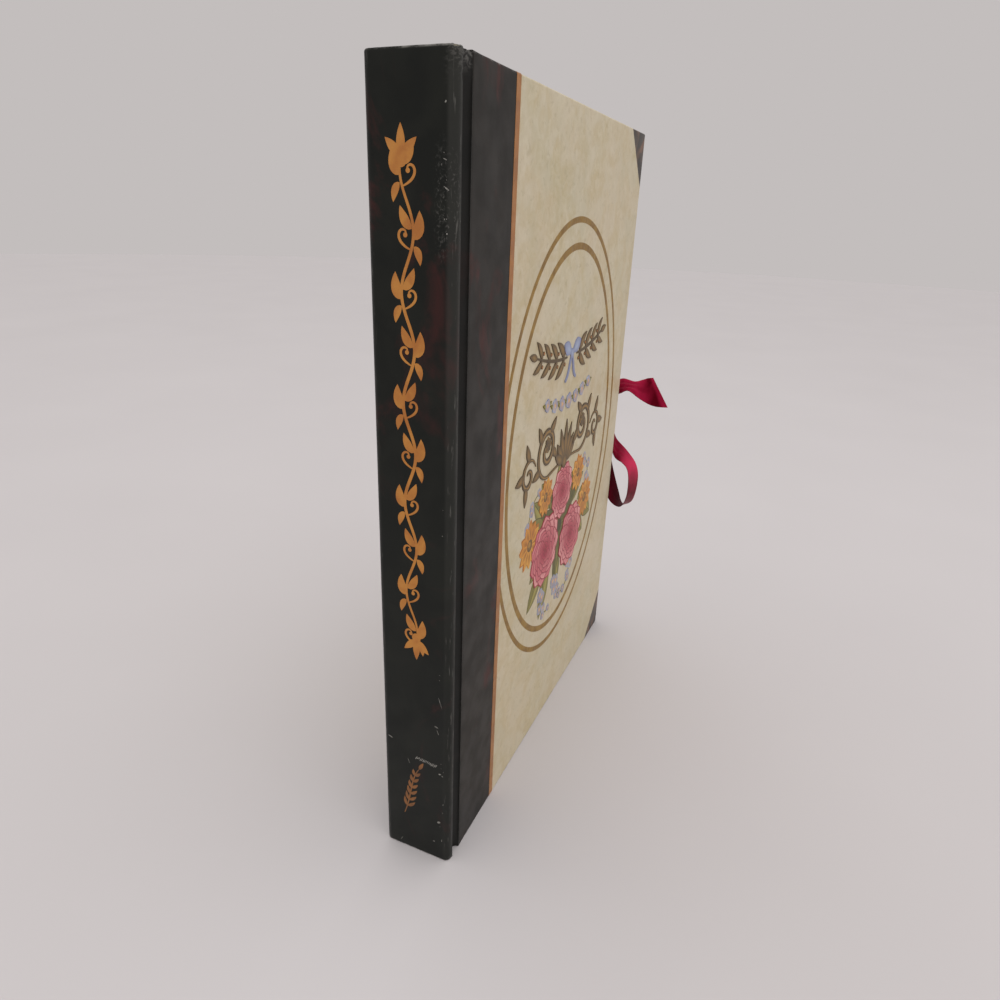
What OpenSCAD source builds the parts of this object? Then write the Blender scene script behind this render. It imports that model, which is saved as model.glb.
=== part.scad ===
// Victorian style photograph album, case bound, with a ribbon tie.
// The album stands on its tail: +Z runs up its height, the spine faces -Y,
// the front cover faces +X and the fore-edge faces +Y.
// Inside the modules, y is the distance from the spine's outer face; placed()
// then moves the origin to the middle of the spine's tail edge.

/* [Album] */
// Height of the covers
album_h = 305; // [240:1:360]
// Width from the spine's outer face to the fore-edge of the covers
album_w = 220; // [190:1:260]
// How far the covers stand past the leaves at head and tail
square_head = 3.5; // [2.5:0.1:6]
// How far the covers stand past the leaves at the fore-edge
square_fore = 4; // [3:0.1:8]

/* [Boards and covering] */
// Thickness of the two cover boards
board_t = 2.6; // [1.8:0.1:4]
// Thickness of the board in the spine
spine_board_t = 3; // [2:0.1:4]
// Thickness of the covering sheets
sheet_t = 0.4; // [0.2:0.05:0.6]
// Width of the covering that is turned in over the boards
turn_in = 15; // [8:0.5:20]
// Outer radius of the spine's two long edges
spine_edge_r = 2.6; // [1.2:0.1:3]
// Width of the groove between the spine and each board
groove_w = 6.4; // [5:0.1:9]
// Thickness of the cloth that forms each groove and hinge
joint_cloth_t = 0.5; // [0.3:0.05:0.8]
// Distance from the spine's face to the edge of the dark quarter strip
quarter_w = 45; // [30:0.5:70]
// Leg of each dark triangular corner
corner_leg = 27; // [15:0.5:45]
// Thickness of the paper pasted inside each cover
pastedown_t = 0.25; // [0.15:0.05:0.4]
// Margin of cover left round the pasted paper
pastedown_margin = 3; // [2:0.5:6]

/* [Leaves] */
// Number of leaves
leaf_count = 8; // [6:1:9]
// Thickness of each window mat, two to a leaf
mat_t = 0.8; // [0.5:0.05:1.2]
// Thickness of the core sheet and of the linen hinge
core_t = 0.6; // [0.4:0.05:1]
// Gap between neighbouring leaves
leaf_gap = 0.55; // [0.3:0.05:1]
// Length of the bare linen between the stub and the leaf
hinge_len = 18; // [16:0.5:26]
// Length of linen glued between the two mats
hinge_tongue = 8; // [5:0.5:14]
// Depth of the stubs that are sewn at the spine
stub_len = 12; // [8:0.5:18]
// Thickness of the free endpapers
flyleaf_t = 0.3; // [0.2:0.05:0.4]
// Width of the single arched window
big_window_w = 104; // [80:1:120]
// Height of the single arched window
big_window_h = 158; // [120:1:190]
// Width of each of the four small arched windows
small_window_w = 60; // [45:1:66]
// Height of each of the four small arched windows
small_window_h = 92; // [75:1:100]
// Bar of card between small windows
window_bar = 22; // [16:1:26]
// Width of the slit below each window, where a photograph slips in
slit_w = 1.2; // [0.8:0.1:2]
// How far each slit lies below its window
slit_drop = 5; // [3:0.5:8]
// How much longer each slit is than its window's width
slit_over = 6; // [4:0.5:10]

/* [Sewing and lining] */
// Number of sewing stations, an even number
stations = 6; // [4:2:8]
// Radius of the linen sewing thread
thread_r = 0.35; // [0.25:0.05:0.45]
// Radius of the bead of the headband and tailband
band_r = 1.1; // [0.8:0.05:1.2]
// Thickness of the gauze on the back of the stubs
gauze_t = 0.3; // [0.2:0.05:0.4]
// Thickness of the paper lining over the gauze
lining_t = 0.4; // [0.2:0.05:0.5]

/* [Ribbon tie] */
// Width of the satin ribbon
ribbon_w = 15; // [10:0.5:18]
// Thickness of the satin ribbon
ribbon_t = 0.3; // [0.2:0.05:0.4]
// Length of ribbon glued under the pasted paper
ribbon_anchor = 35; // [25:1:60]
// Half the width of the knot
knot_half = 4.5; // [4:0.1:5]

/* [Hidden] */
$fn = 48;
overlap = 1;             // how far cutting shapes run past the faces they cut
fit = 0.1;               // clearance of pasted and inserted pieces
glue_line = 0.15;        // gap between neighbouring stubs
hole_clearance = 0.05;   // radial room for the thread in its holes
hollow = 1.2;            // free space behind the spine board
fly_gap = 0.15;          // gap between the outer stub and the endpaper's fold
cover_gap = 0.55;        // gap between the endpaper and the pasted paper
hinge_out = 0.2;         // how far the cover hinge lies outside the cover's face
band_skirt = 8;          // length of the headband's cloth glued behind the lining
band_skirt_t = 0.4;      // thickness of that cloth
gauze_inset = 6;         // how far the gauze stops short of head and tail
lining_inset = 2;        // how far the lining stops short of head and tail
spine_turn_in = 12;      // covering turned in over the spine board's ends
hinge_inset = 1;         // how far the linen hinges stop short of head and tail
spline_steps = 5;        // steps between neighbouring points of a ribbon

// Thickness of one cover and of the whole album
leaf_t = 2 * mat_t + core_t;
leaf_pitch = leaf_t + leaf_gap;
stack_half = leaf_count * leaf_pitch / 2;
fly_x = stack_half + fly_gap + flyleaf_t / 2;
lined_half = fly_x + flyleaf_t / 2 + cover_gap;
album_half = lined_half + pastedown_t + sheet_t + board_t + sheet_t;
board_out = album_half - sheet_t;
board_in = board_out - board_t;
turned_in = board_in - sheet_t;

// Distances from the spine's outer face
spine_t = spine_board_t + sheet_t;
hinge_y = spine_t + groove_w / 2;
hinge_x = album_half + hinge_out;
board_y0 = spine_t + groove_w;
lining_y = spine_t + hollow;
gauze_y = lining_y + lining_t;
stub_y0 = gauze_y + gauze_t;
stub_y1 = stub_y0 + stub_len;
leaf_axis_y = stub_y1 + hole_clearance + core_t / 2;
card_y0 = leaf_axis_y + hinge_len;
card_y1 = album_w - square_fore;
sew_y = (stub_y0 + stub_y1) / 2;

// Heights
leaf_z0 = square_head;
leaf_z1 = album_h - square_head;
tie_z = album_h / 2;

// Ribbon: points chosen by hand on the front half, as [x past the knot's side,
// distance past the fore-edge, height above the tie, width vector, share of width]
bed_t = ribbon_t + fit / 2;          // depth of the glued end's bed
ribbon_x = turned_in - bed_t / 2;
glued_end = album_w - pastedown_margin;
gathered = 0.28;                     // share of the width where the ribbon enters the knot
knot_y = 9;                          // knot's middle past the fore-edge
bundle_r = 2.2;                      // roundness of the gathered ribbon beside the knot
knot_gap = 0.3;                      // room between the knot and the other half's gather
bundle_x = knot_half + knot_gap + bundle_r;
strap_bend = [[-0.3, 1.2, 1], [-2, 5, 0.85]];  // x off the glued line, past the fore-edge, share of width
loop_points = [
    [3.6, 9, -2.8, 0, 1, 0, gathered],
    [5, 10, -15, -0.1, 0.8, 0.6, 0.75],
    [9.5, 10, -27, -0.15, 0.75, 0.65, 0.9],
    [16.5, 10.5, -33, 0, 0.95, 0.2, 1],
    [21.5, 11, -39, 0.15, 0.95, -0.05, 1],
    [23.5, 11, -48, 0.2, 0.95, -0.2, 1],
    [22.5, 10.5, -61, 0.1, 0.9, -0.4, 1],
    [17.5, 10.5, -66.5, -0.1, 0.95, -0.2, 1],
    [12, 10, -60, 0.1, 0.95, 0.2, 1],
    [7, 10, -47, 0.1, 0.8, 0.55, 1],
    [3.5, 9.5, -27, 0, 0.85, 0.5, 0.85],
    [1.2, 9, -2.8, 0, 1, 0, gathered]
];
front_tail_points = [
    [2.4, 9, 2.8, 0, 1, 0, gathered],
    [5, 10, 9.5, -0.1, 0.75, 0.65, 0.65],
    [9.5, 10, 13, -0.15, 0.7, 0.7, 0.73],
    [16, 10.5, 13.5, 0.1, 0.9, 0.4, 0.7],
    [23, 11, 12, -0.1, 0.5, 0.85, 0.9],
    [28.5, 11.5, 11, -0.35, 0.1, 0.9, 1.2],
    [34, 11.5, 11.5, -0.55, 0, 0.85, 1.37]
];
back_tail_points = [
    [2.4, 9, 2.8, 0, 1, 0, gathered],
    [5, 11.5, 8, 0.5, 0.8, 0.3, 0.5],
    [9, 16, 5.5, 0.8, 0.5, 0.3, 0.75],
    [11.5, 19.5, -5, 0.9, 0.2, 0.3, 0.95],
    [13, 20, -20, 0.95, 0.1, 0.2, 1],
    [14, 20, -33, 0.9, 0, 0.35, 1.1]
];

leaf_pieces = ["recto_mat", "verso_mat", "core", "hinge"];

dark = "#26231f";
cream = "#d3c49c";
card = "#e6dcc2";
grey_board = "#8f8878";
linen = "#c9bfa6";
satin = "#8f1230";

function leaf_node(k, piece) = str("leaf_", k, "_", piece);
function leaf_x(k) = stack_half - (k - 0.5) * leaf_pitch;
function span(mid, half) = [mid - half, mid + half];
function station_z(i) = leaf_z0 + (leaf_z1 - leaf_z0) * i / (stations + 1);

// Shared shapes
module placed() translate([0, -spine_t / 2, 0]) children();

module on_back() mirror([1, 0, 0]) children();

module slab(x, y, z) translate([x[0], y[0], z[0]])
    cube([x[1] - x[0], y[1] - y[0], z[1] - z[0]]);

// Outline of the spine in plan: flat inside, its two outer edges rounded
module spine_outline(half, front, r) intersection() {
    translate([-half, front]) square([2 * half, spine_t - front]);
    union() {
        translate([-half, front + r]) square([2 * half, spine_t]);
        translate([r - half, front]) square([2 * (half - r), spine_t]);
        for (side = [-1, 1]) translate([side * (half - r), front + r]) circle(r);
    }
}

// A window with a round arch over a straight sill, drawn about its middle,
// and the slit below it
module arched_window(w, h) {
    translate([-w / 2, -h / 2]) square([w, h - w / 2]);
    translate([0, h / 2 - w / 2]) circle(w / 2);
    translate([-(w + slit_over) / 2, -h / 2 - slit_drop - slit_w]) square([w + slit_over, slit_w]);
}

// Spine of the case
module spine_board() color(grey_board) translate([0, 0, sheet_t])
    linear_extrude(album_h - 2 * sheet_t) spine_outline(board_out, sheet_t, spine_edge_r - sheet_t);

module spine_sheet() color(dark) {
    difference() {
        linear_extrude(album_h) spine_outline(album_half, 0, spine_edge_r);
        translate([0, 0, sheet_t]) linear_extrude(album_h - 2 * sheet_t) {
            spine_outline(board_out, sheet_t, spine_edge_r - sheet_t);
            translate([-board_out, spine_t - overlap]) square([2 * board_out, 2 * overlap]);
        }
    }
    for (z = [[0, spine_turn_in], [album_h - spine_turn_in, album_h]])
        slab([-board_in, board_in], [spine_t, spine_t + sheet_t], z);
}

// Half-round channel of cloth between the spine and a board, on the hinge's axis
module joint_cloth() color(dark) intersection() {
    translate([hinge_x, hinge_y, sheet_t]) difference() {
        cylinder(h = album_h - 2 * sheet_t, r = groove_w / 2 - fit);
        translate([0, 0, -overlap])
            cylinder(h = album_h + overlap, r = groove_w / 2 - fit - joint_cloth_t);
    }
    slab([album_half - groove_w, album_half], [spine_t, board_y0], [0, album_h]);
}

// Cover: board, covering and pasted paper, drawn for the front
module cover_board() color(grey_board)
    slab([board_in, board_out], [board_y0, album_w - sheet_t], [sheet_t, album_h - sheet_t]);

module covering() difference() {
    slab([turned_in, album_half], [board_y0, album_w], [0, album_h]);
    slab([board_in, board_out], [board_y0 - overlap, album_w - sheet_t], [sheet_t, album_h - sheet_t]);
    slab([turned_in - overlap, board_in + overlap], [board_y0 - overlap, album_w - turn_in],
         [turn_in, album_h - turn_in]);
}

module corner_zone() for (z = [0, 1])
    translate([turned_in - overlap, album_w, z * album_h]) mirror([0, 0, z]) rotate([90, 0, 90])
        linear_extrude(album_half - turned_in + 2 * overlap)
            polygon([[-corner_leg - overlap, -overlap], [overlap, -overlap],
                     [overlap, corner_leg + overlap]]);

module quarter_strip() color(dark) intersection() {
    covering();
    slab([0, 2 * album_half], [0, quarter_w], [-overlap, album_h + overlap]);
}

module side_paper() color(cream) difference() {
    covering();
    slab([0, 2 * album_half], [0, quarter_w], [-overlap, album_h + overlap]);
    corner_zone();
}

module corners() color(dark) intersection() {
    covering();
    corner_zone();
}

// Pasted paper fills the space between the turned-in edges and covers the
// ribbon's glued end with a low bump
module pastedown() color(card) difference() {
    union() {
        slab([lined_half, board_in], [board_y0, album_w - turn_in - fit],
             [turn_in + fit, album_h - turn_in - fit]);
        slab([lined_half, turned_in], [board_y0, glued_end],
             [pastedown_margin, album_h - pastedown_margin]);
        slab([lined_half - bed_t, turned_in], ribbon_bed(pastedown_t),
             span(tie_z, ribbon_w / 2 + pastedown_t + fit));
    }
    slab([turned_in - bed_t, turned_in], ribbon_bed(0) + [0, overlap],
         span(tie_z, ribbon_w / 2 + fit));
}

function ribbon_bed(wall) = [glued_end - ribbon_anchor - wall - fit, glued_end];

// Text block
module spine_lining() color("#b08d5f")
    slab(span(0, stack_half), [lining_y, gauze_y], [leaf_z0 + lining_inset, leaf_z1 - lining_inset]);

module spine_gauze() color(linen)
    slab(span(0, stack_half), [gauze_y, stub_y0], [leaf_z0 + gauze_inset, leaf_z1 - gauze_inset]);

module headband() color("#8a5a2b") {
    translate([-stack_half, lining_y + band_r / 2, leaf_z1 + band_r]) rotate([0, 90, 0])
        cylinder(h = 2 * stack_half, r = band_r);
    slab(span(0, stack_half), [lining_y - band_skirt_t, lining_y], [leaf_z1 - band_skirt, leaf_z1 + band_r]);
}

module tailband() translate([0, 0, album_h]) mirror([0, 0, 1]) headband();

module guard_stubs() color(card) difference() {
    for (k = [1:leaf_count])
        slab(span(leaf_x(k), (leaf_pitch - glue_line) / 2), [stub_y0, stub_y1], [leaf_z0, leaf_z1]);
    for (i = [1:stations]) translate([-album_half, sew_y, station_z(i)]) rotate([0, 90, 0])
        cylinder(h = 2 * album_half, r = thread_r + hole_clearance);
}

// Running stitch: one thread through every station, crossing on alternate sides,
// where it lies a little fuller
module sewing_thread() color(linen) {
    stitch_r = thread_r + hole_clearance;
    stitch_x = stack_half + stitch_r;
    for (i = [1:stations]) translate([-stitch_x, sew_y, station_z(i)]) rotate([0, 90, 0])
        cylinder(h = 2 * stitch_x, r = thread_r);
    for (i = [1:stations - 1])
        translate([(i % 2 == 0 ? -1 : 1) * stitch_x, sew_y, station_z(i) - 2 * stitch_r])
            cylinder(h = station_z(i + 1) - station_z(i) + 4 * stitch_r, r = stitch_r);
}

module flyleaf() color(card) {
    slab(span(fly_x, flyleaf_t / 2), [leaf_axis_y, card_y1], [leaf_z0, leaf_z1]);
    translate([fly_x, leaf_axis_y, leaf_z0]) cylinder(h = leaf_z1 - leaf_z0, r = flyleaf_t / 2);
}

// One leaf: two window mats on a core sheet, on a linen hinge
module windows(k) translate([(card_y0 + card_y1) / 2, album_h / 2]) {
    if (k % 2 == 1) arched_window(big_window_w, big_window_h);
    else for (i = [-1, 1]) for (j = [-1, 1])
        translate([i * (small_window_w + window_bar) / 2, j * (small_window_h + window_bar) / 2])
            arched_window(small_window_w, small_window_h);
}

module leaf_mat(k, side) color(card)
    translate([leaf_x(k) + side * (core_t + mat_t) / 2 - mat_t / 2, 0, 0])
        rotate([90, 0, 90]) linear_extrude(mat_t) difference() {
            translate([card_y0, leaf_z0]) square([card_y1 - card_y0, leaf_z1 - leaf_z0]);
            windows(k);
        }

module leaf_core(k) color("#d9cfb8")
    slab(span(leaf_x(k), core_t / 2), [card_y0 + hinge_tongue + fit, card_y1], [leaf_z0, leaf_z1]);

module leaf_hinge(k) color(linen) {
    z = [leaf_z0 + hinge_inset, leaf_z1 - hinge_inset];
    slab(span(leaf_x(k), core_t / 2), [leaf_axis_y, card_y0 + hinge_tongue], z);
    translate([leaf_x(k), leaf_axis_y, z[0]]) cylinder(h = z[1] - z[0], r = core_t / 2);
}

// Ribbon: a flat strip swept along a smooth curve through its points
function unit(v) = v / norm(v);
function middle(p) = [p[0], p[1], p[2]];
function across(p) = unit([p[3], p[4], p[5]]);
function between(a, b, c, d, t) = 0.5 * (2 * b + (c - a) * t + (2 * a - 5 * b + 4 * c - d) * t * t
                                         + (3 * b - a - 3 * c + d) * t * t * t);
function smooth(points) = let (last = len(points) - 1) concat(
    [for (i = [0:last - 1]) for (s = [0:spline_steps - 1])
        between(points[max(i - 1, 0)], points[i], points[i + 1], points[min(i + 2, last)], s / spline_steps)],
    [points[last]]);
function ring(points, i) = let (
    last = len(points) - 1,
    along = unit(middle(points[min(i + 1, last)]) - middle(points[max(i - 1, 0)])),
    wide = across(points[i]) * ribbon_w * points[i][6] / 2,
    thick = unit(cross(along, across(points[i]))) * ribbon_t / 2,
    m = middle(points[i]))
    [m - wide - thick, m + wide - thick, m + wide + thick, m - wide + thick];

module strip(points) {
    curve = smooth(points);
    last = len(curve) - 1;
    corners = [for (i = [0:last]) each ring(curve, i)];
    sides = [for (i = [0:last - 1]) for (j = [0:3])
        let (a = 4 * i + j, b = 4 * i + (j + 1) % 4) each [[a, a + 4, b], [b, a + 4, b + 4]]];
    ends = [[0, 1, 2], [0, 2, 3], [4 * last, 4 * last + 2, 4 * last + 1],
            [4 * last, 4 * last + 3, 4 * last + 2]];
    polyhedron(points = corners, faces = concat(sides, ends));
}

// Moves hand-chosen points from the tie to their place on the album
function tied(points) = [for (p = points)
    [p[0] + knot_half + knot_gap, p[1] + album_w, p[2] + tie_z, p[3], p[4], p[5], p[6]]];
function strap_points() = concat(
    [for (i = [0:3]) [ribbon_x, glued_end - (1 - i / 3) * ribbon_anchor, tie_z, 0, 0, 1, 1]],
    [for (p = strap_bend) [ribbon_x + p[0], album_w + p[1], tie_z, 0, 0, 1, p[2]]],
    [[bundle_x + bundle_r / 2, album_w + knot_y, tie_z, 0, 0, 1, gathered]]);

module ribbon_half(tail_points) {
    strip(strap_points());
    strip(tied(loop_points));
    strip(tied(tail_points));
}

// Rounded body of gathered ribbon between two distances along the knot
module gather(x) hull() for (at = x) for (z = [-1, 1])
    translate([at, album_w + knot_y, tie_z + z * bundle_r]) sphere(bundle_r, $fn = 16);

module front_ribbon() color(satin) {
    ribbon_half(front_tail_points);
    gather([bundle_x]);
}

// The knot stays with the back half
module back_ribbon() color(satin) {
    on_back() ribbon_half(back_tail_points);
    gather([-bundle_x, knot_half - bundle_r]);
}

placed() {
    spine_board();
    spine_sheet();
    joint_cloth();  // front_joint_cloth
    on_back() joint_cloth();  // back_joint_cloth
    spine_lining();
    spine_gauze();
    headband();
    tailband();
    guard_stubs();
    sewing_thread();
    cover_board();  // front_board
    quarter_strip();  // front_quarter_strip
    side_paper();  // front_side_paper
    corners();  // front_corners
    pastedown();  // front_pastedown
    front_ribbon();
    flyleaf();  // front_flyleaf
    on_back() cover_board();  // back_board
    on_back() quarter_strip();  // back_quarter_strip
    on_back() side_paper();  // back_side_paper
    on_back() corners();  // back_corners
    on_back() pastedown();  // back_pastedown
    back_ribbon();
    on_back() flyleaf();  // back_flyleaf
    for (k = [1:leaf_count]) {
        leaf_mat(k, 1);
        leaf_mat(k, -1);
        leaf_core(k);
        leaf_hinge(k);
    }
}
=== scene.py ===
"""Looks of the photograph album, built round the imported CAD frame.

Lengths are in millimetres until a mesh is made. Inside this file d is the distance from the
spine's outer face; the frame's y is d less half the spine's thickness, as in the part's source.
"""
import random
from functools import reduce
from math import acos, asin, atan2, copysign, cos, exp, hypot, pi, radians, sin, sqrt, tau

import bmesh
import bpy
from mathutils import Euler, Matrix, Vector, noise


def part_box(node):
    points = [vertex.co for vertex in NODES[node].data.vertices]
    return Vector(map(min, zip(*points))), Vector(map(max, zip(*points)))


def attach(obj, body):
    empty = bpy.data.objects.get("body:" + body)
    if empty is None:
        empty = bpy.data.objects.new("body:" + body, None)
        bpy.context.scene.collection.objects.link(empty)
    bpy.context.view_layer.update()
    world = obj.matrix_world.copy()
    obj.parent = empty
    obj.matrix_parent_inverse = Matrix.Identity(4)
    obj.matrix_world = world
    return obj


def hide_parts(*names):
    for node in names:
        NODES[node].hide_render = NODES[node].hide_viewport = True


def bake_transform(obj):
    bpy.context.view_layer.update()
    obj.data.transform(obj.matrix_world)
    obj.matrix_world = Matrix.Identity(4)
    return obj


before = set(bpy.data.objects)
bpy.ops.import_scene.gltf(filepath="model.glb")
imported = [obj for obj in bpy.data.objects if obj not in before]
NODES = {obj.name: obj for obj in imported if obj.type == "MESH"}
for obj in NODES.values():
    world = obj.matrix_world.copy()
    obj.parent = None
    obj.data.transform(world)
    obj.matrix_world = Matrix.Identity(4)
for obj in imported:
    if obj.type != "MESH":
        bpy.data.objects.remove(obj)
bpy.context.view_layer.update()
MM = 0.001
SIDES = (("front", 1), ("back", -1))
random.seed(11)

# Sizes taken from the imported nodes
SPINE_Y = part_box("spine_sheet")[0].y / MM


def span(node):
    """A node's reach along x, d and z, in millimetres."""
    lo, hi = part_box(node)
    return (lo.x / MM, hi.x / MM), (lo.y / MM - SPINE_Y, hi.y / MM - SPINE_Y), (lo.z / MM, hi.z / MM)


(TURNED_IN, HALF), (QUARTER_W, ALBUM_W), (_, ALBUM_H) = span("front_side_paper")
(BOARD_IN, BOARD_OUT), (BOARD_D0, _), _ = span("front_board")
SPINE_T = span("spine_board")[1][1]
PAGE = span("leaf_1_recto_mat")[1:]
LEAF_COUNT = sum(1 for n in NODES if n.endswith("_core"))

# Sizes repeated from the part's source
SHEET_T = 0.4
TURN_IN = 15.0
CORNER_LEG = 27.0
SPINE_EDGE_R = 2.6
SPINE_TURN_IN = 12.0
GROOVE_W = 6.4
HINGE_X = HALF + 0.2
HINGE_D = SPINE_T + GROOVE_W / 2
CLOTH_T = 0.5
RIBBON_W = 15.0
RIBBON_T = 0.26
TIE_Z = ALBUM_H / 2
KNOT_HALF = 4.5
KNOT_GAP = 0.3
KNOT_D = ALBUM_W + 9.0

# Sizes of the looks alone
EDGE_R = 0.8            # softness of the covered boards' outer edges
INNER_R = 0.6           # softness of their turned-in edges
PRINT_H = 0.04          # how proud a printed layer stands
PRINT_SINK = 0.06       # how deep its closed body is sunk in the paper
LAYER = 0.0004          # how much each later shape stands above the one before


def place(x, d, z):
    """A point of the frame, in metres."""
    return Vector((x * MM, (d + SPINE_Y) * MM, z * MM))


def lin(text):
    """A colour written as hex, in linear light."""
    parts = [int(text[i:i + 2], 16) / 255 for i in (1, 3, 5)]
    return tuple(c / 12.92 if c <= 0.04045 else ((c + 0.055) / 1.055) ** 2.4 for c in parts)


def lerp(a, b, t):
    return a + (b - a) * t


def spread(a, b, n):
    """Values from a to b in n even steps."""
    return [lerp(a, b, k / n) for k in range(n + 1)]


def shade(a, b, t):
    """A colour between two others."""
    return tuple(lerp(x, y, t) for x, y in zip(a, b))


def ease(t):
    t = min(max(t, 0.0), 1.0)
    return t * t * (3 - 2 * t)


def swell(t):
    """From 0 up to 1 and back to 0."""
    return sin(pi * min(max(t, 0.0), 1.0))


def polar(u, v, r, a):
    """The point at distance r from (u, v), in direction a."""
    return u + r * cos(a), v + r * sin(a)


def quarter(steps):
    """Sine and cosine at even steps of a quarter turn."""
    turns = [pi / 2 * k / steps for k in range(steps + 1)]
    return [(sin(a), cos(a)) for a in turns]


def rough(x, y, z, size, seed=0.0):
    """Smooth noise from about -1 to 1, with features of that size in millimetres."""
    return noise.noise(Vector((x / size + seed, y / size - seed, z / size + 2 * seed)))


# Meshes
def add_object(name, data):
    obj = bpy.data.objects.new(name, data)
    bpy.context.scene.collection.objects.link(obj)
    return obj


def smooth(mesh, sharp):
    """Smooth shading, apart from edges sharper than this many degrees."""
    mesh.shade_smooth()
    mesh.set_sharp_from_angle(angle=radians(sharp))


def new_object(name, verts, faces, mat=None, sharp=40):
    """An object from vertices given as (x, d, z)."""
    mesh = bpy.data.meshes.new(name)
    mesh.from_pydata([place(*v) for v in verts], [], faces)
    mesh.validate()
    smooth(mesh, sharp)
    if mat is not None:
        mesh.materials.append(mat)
    return add_object(name, mesh)


def paint(obj, layer, tints):
    """Gives each vertex a colour."""
    attribute = obj.data.color_attributes.new(layer, "FLOAT_COLOR", "POINT")
    for i, t in enumerate(tints):
        attribute.data[i].color = (*t, 1)


def grid(rows, cols, wrap=False, flip=False):
    faces = []
    for i in range(rows - 1):
        for j in range(cols if wrap else cols - 1):
            a, b = i * cols + j, i * cols + (j + 1) % cols
            face = (a, b, b + cols, a + cols)
            faces.append(face[::-1] if flip else face)
    return faces


def capped(rows, cols, flip=False):
    """Faces of a closed loft with a cap at each end."""
    n = rows * cols
    caps = [tuple(reversed(range(cols))), tuple(range(n - cols, n))]
    return grid(rows, cols, wrap=True, flip=flip) + [cap[::-1] if flip else cap for cap in caps]


def baked(obj):
    """Applies the object's modifiers to its mesh."""
    depsgraph = bpy.context.evaluated_depsgraph_get()
    mesh = bpy.data.meshes.new_from_object(obj.evaluated_get(depsgraph))
    old = obj.data
    obj.modifiers.clear()
    obj.data = mesh
    mesh.name = obj.name
    bpy.data.meshes.remove(old)
    return obj


def thicken(obj, thickness, offset, even=True, back=0, sharp=60):
    """Makes a sheet solid; back is the material slot of the new side."""
    m = obj.modifiers.new("thickness", "SOLIDIFY")
    m.thickness, m.offset = thickness * MM, offset
    m.use_even_offset, m.material_offset = even, back
    smooth(baked(obj).data, sharp)
    return obj


def prism(outline, x):
    """An outline in (d, z), counter-clockwise, between two distances along x."""
    return new_object("prism", [(at, *p) for at in x for p in outline], capped(2, len(outline)))


def block(x, d, z):
    """A box between two distances on each axis."""
    return prism([(d[0], z[0]), (d[1], z[0]), (d[1], z[1]), (d[0], z[1])], x)


def boolean(obj, cutters, operation):
    for cutter in cutters:
        m = obj.modifiers.new("cut", "BOOLEAN")
        m.operation, m.solver, m.object = operation, "EXACT", cutter
        baked(obj)
    return obj


def copy_of(obj, name="copy", sign=1):
    """A copy in the same place or, with sign -1, on the other side of the album."""
    new = add_object(name, obj.data.copy())
    if sign < 0:
        new.data.transform(Matrix.Diagonal((-1, 1, 1, 1)))
        new.data.flip_normals()
    return new


def joined(name, *objs):
    """One object made of several, which are removed."""
    mesh, work = bpy.data.meshes.new(name), bmesh.new()
    for o in objs:
        work.from_mesh(o.data)
    work.to_mesh(mesh)
    work.free()
    remove(*objs)
    return add_object(name, mesh)


def remove(*objs):
    for o in objs:
        bpy.data.objects.remove(o)


def dressed(obj, mat, sharp):
    obj.data.materials.clear()
    obj.data.materials.append(mat)
    smooth(obj.data, sharp)
    return obj


def stand_in(node):
    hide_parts(node)


# Materials
class Nodes:
    """The node tree of a material or of the world."""

    def __init__(self, owner):
        owner.use_nodes = True
        self.tree = owner.node_tree

    def put(self, sockets, values):
        """Sets or links sockets; a colour is written as hex."""
        for key, value in values.items():
            if isinstance(value, bpy.types.NodeSocket):
                self.tree.links.new(value, sockets[key])
            else:
                sockets[key].default_value = (*lin(value), 1) if isinstance(value, str) else value

    def node(self, kind, values=None, **props):
        """A new node with these inputs and settings; gives its outputs."""
        n = self.tree.nodes.new("ShaderNode" + kind)
        for key, value in props.items():
            setattr(n, key, value)
        self.put(n.inputs, values or {})
        return n.outputs


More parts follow.
